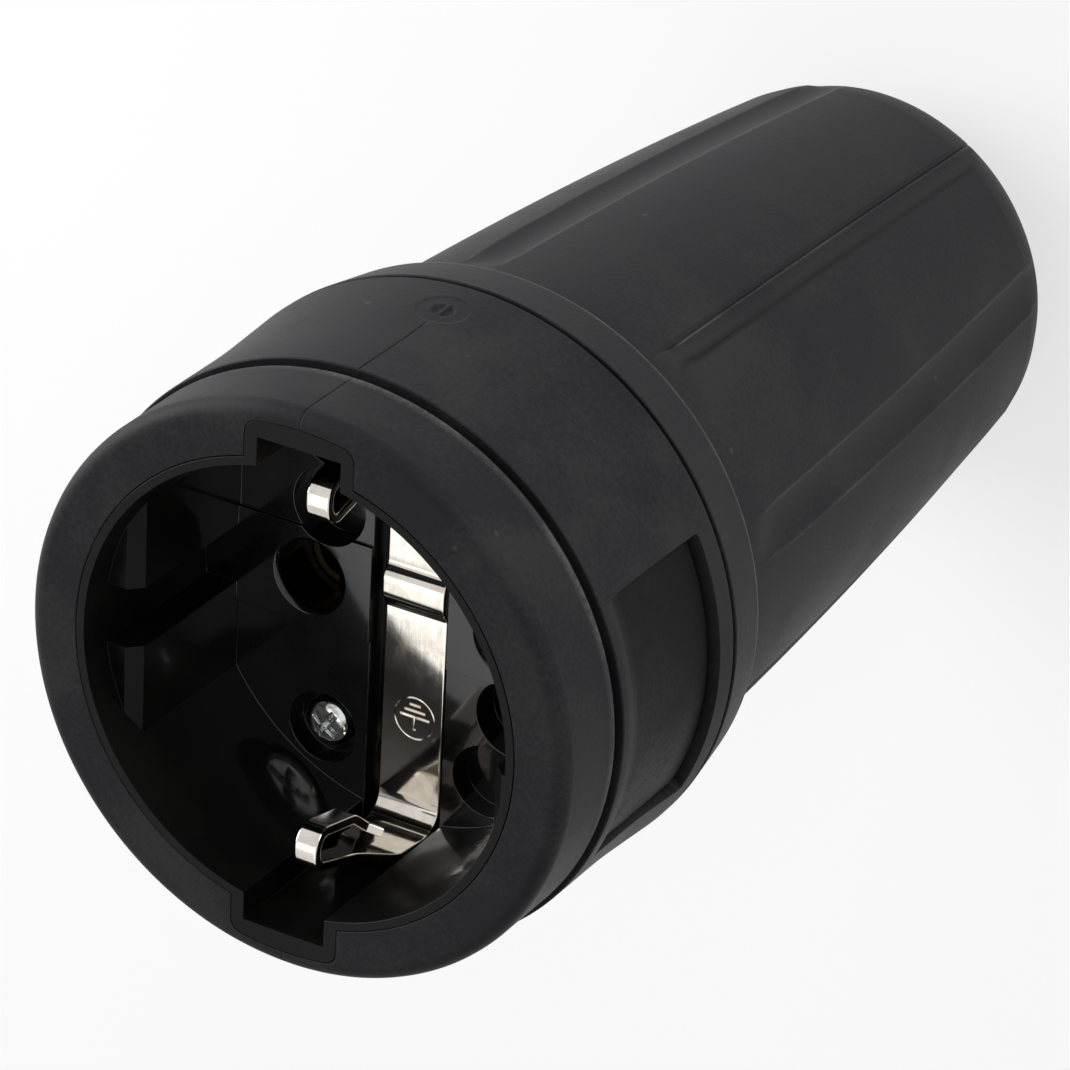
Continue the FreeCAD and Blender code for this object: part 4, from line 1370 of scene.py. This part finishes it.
    def stamped(self, strip: Piece) -> None:
        """Sinks the earth sign into the strip."""
        top = level(self.low - self.thickness / 2) + self.sign_lift * MM
        for index, (points, half) in enumerate(self.sign_lines()):
            curve = bpy.data.curves.new(f"sign_run_{index}", "CURVE")
            curve.dimensions = "3D"
            curve.bevel_depth = half * MM
            curve.bevel_resolution = 2
            curve.use_fill_caps = True
            spline = curve.splines.new("POLY")
            spline.points.add(len(points) - 1)
            spline.use_cyclic_u = index == 0
            for point, place in zip(spline.points, points):
                point.co = ((place.x + self.sign_at[0]) * MM, (place.y + self.sign_at[1]) * MM, top, 1.0)
            line = shown(curve.name, curve)
            cutter = shown(f"sign_cutter_{index}", evaluated_mesh(line))
            bpy.data.objects.remove(line)
            cut = strip.modifiers.new("stamp", "BOOLEAN")
            cut.operation = "DIFFERENCE"
            cut.solver = "EXACT"
            cut.object = cutter
            baked(strip)
            bpy.data.objects.remove(cutter)
        sewn(strip, sharp_angle=35.0)

    def rivet(self) -> Piece:
        """Rivet with a domed head, a shank through the floor and its set tail."""
        top = self.low - self.thickness / 2
        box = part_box("earth_rivet")
        bottom = FRONT - box[0].z / MM
        radius = self.rivet_radius
        rise = self.rivet_rise
        turns = [math.pi / 2 * step / self.rivet_rows for step in range(1, self.rivet_rows + 1)]
        dome = [(radius * math.sin(turn), top - rise * math.cos(turn)) for turn in turns]
        tail = [(self.rivet_shank, top), (self.rivet_shank, bottom - rise), (radius, bottom - rise),
                (radius * self.rivet_tail, bottom), (0.0, bottom)]
        outline = [Vector(point) for point in [(0.0, top - rise), *dome, (radius, top), *tail]]
        angles = [math.tau * step / self.rivet_columns for step in range(self.rivet_columns)]
        piece = turned_ring("earth_rivet_head", outline, angles, lambda reach, depth, angle: reach)
        for vertex in piece.data.vertices:
            vertex.co.y += self.rivet_at * MM
        sewn(piece, sharp_angle=35.0, join=1e-6)
        return piece

    def build(self, materials: Materials) -> None:
        """Makes the bracket and its rivet and puts them in their nodes' places."""
        strip = self.strip()
        self.stamped(strip)
        handed_over(strip, materials, Slot.NICKEL, "earth_bracket")
        handed_over(self.rivet(), materials, Slot.BRASS, "earth_rivet")


# Screws in the floor

@dataclass
class InsertScrews:
    """The two pan-head screws in the floor, one screw placed twice."""

    head_radius: float = 2.2
    head_height: float = 1.7
    crown: float = 0.72
    shank_radius: float = 1.25
    shank_length: float = 13.5
    tip: float = 0.5
    seat_depth: float = 20.0
    reach: float = 15.8
    angle: float = 60.0
    cross_half: float = 0.36
    cross_reach: float = 1.4
    cross_sink: float = 1.1
    cross_draft: float = 0.3
    rings: int = 44
    columns: int = 128
    crown_power: float = 3.2
    crown_round: float = 0.45
    crown_scale: float = 1.6
    count: int = 2
    twist: float = 0.35
    twist_step: float = 0.6

    def head_top(self, out: float) -> float:
        """Height of the plain head's top at a distance from the screw's axis."""
        share = min(out / self.head_radius, 1.0)
        fall = 1.0 - (1.0 - share ** self.crown_power) ** self.crown_round
        return self.head_height - self.crown * fall * self.crown_scale

    def recess(self, across: float, along: float) -> float:
        """Depth of the cross recess at a point of the head."""
        arms = (min(self.cross_half - abs(side), self.cross_reach - abs(length))
                for side, length in ((across, along), (along, across)))
        return self.cross_sink * eased(0.0, self.cross_draft, max(arms))

    def screw(self) -> Piece:
        """One screw about the Z axis, its head's underside at the origin."""
        heads = [self.head_radius * (step / self.rings) for step in range(self.rings + 1)]
        profile = [(out, self.head_top(out), True) for out in heads]
        end = -self.shank_length
        below = [(self.head_radius, 0.0), (self.shank_radius, 0.0), (self.shank_radius, end + self.tip),
                 (self.shank_radius - self.tip, end), (0.0, end)]
        profile += [(out, height, False) for out, height in below]
        vertices = []
        for column in range(self.columns):
            turn = math.tau * column / self.columns
            for out, height, cut in profile:
                across, along = out * math.cos(turn), out * math.sin(turn)
                drop = self.recess(across, along) if cut else 0.0
                vertices.append((across * MM, along * MM, (height - drop) * MM))
        faces = grid_faces(self.columns, len(profile), True, False)
        piece = new_piece("insert_screw_pair", vertices, faces)
        sewn(piece, sharp_angle=50.0, join=1e-6)
        return piece

    def tree(self) -> Tree:
        """Geometry Nodes tree that sets the screw at its places, evenly round the axis."""
        group = new_group(
            "screw_pair", "GeometryNodeTree",
            {"Screw": "NodeSocketGeometry", "Count": "NodeSocketInt",
             **floats("Reach", "Angle", "Seat", "Twist", "Twist Step"), "Finish": "NodeSocketMaterial"},
            {"Screws": "NodeSocketGeometry"})
        board = NodeBoard(group)
        given = board.add("NodeGroupInput").outputs
        number = board.add("GeometryNodeInputIndex").outputs[0]
        share = board.math("DIVIDE", board.times(number, math.tau), given["Count"])
        place = board.polar(given["Reach"], board.plus(share, given["Angle"]), given["Seat"])
        spots = board.add("GeometryNodePoints", {"Count": given["Count"], "Position": place}).outputs[0]
        twist = board.plus(given["Twist"], board.times(number, given["Twist Step"]))
        upright = board.add("ShaderNodeCombineXYZ", {2: twist}).outputs[0]
        set_in = board.add("GeometryNodeInstanceOnPoints", {
            "Points": spots, "Instance": given["Screw"], "Rotation": upright}).outputs[0]
        board.put_out(set_in, given["Finish"])
        return group

    def build(self, materials: Materials) -> None:
        """Makes the screws and puts them in their node's place."""
        piece = self.screw()
        grown(piece, self.tree(), {
            "Count": self.count, "Reach": self.reach * MM, "Angle": math.radians(self.angle),
            "Seat": level(self.seat_depth), "Twist": self.twist, "Twist Step": self.twist_step,
            "Finish": materials[Slot.ZINC],
        })
        handed_over(piece, materials, Slot.ZINC, "insert_screws")


# Pieces inside, kept from the frame

@dataclass
class InnerPieces:
    """Pieces that the shell and grip enclose: they keep their CAD shapes and get their finishes."""

    built_here: tuple[str, ...] = (
        "front_shell", "rear_grip", "socket_insert", "earth_bracket", "earth_rivet", "insert_screws")

    def dress(self, materials: Materials) -> None:
        """Gives each kept node the finish of its slot."""
        slots = {part["node"]: Slot(part["material_slot"]) for part in frame["record"]["subparts"]}
        for name, node in frame["nodes"].items():
            if name in self.built_here:
                continue
            for holder in node.material_slots:
                holder.material = materials[slots[name]]
            LOG.info("%s keeps its shape in %s", name, slots[name].value)


def main() -> None:
    """Builds the studio and every piece of the connector."""
    logging.basicConfig(level=logging.INFO, format="%(name)s: %(message)s")
    materials = made_materials()
    Studio().set_up()
    for part in (FrontShell(), RearGrip(), SocketInsert(), EarthBracket(), InsertScrews()):
        part.build(materials)
    InnerPieces().dress(materials)


if __name__ == "__main__":
    main()
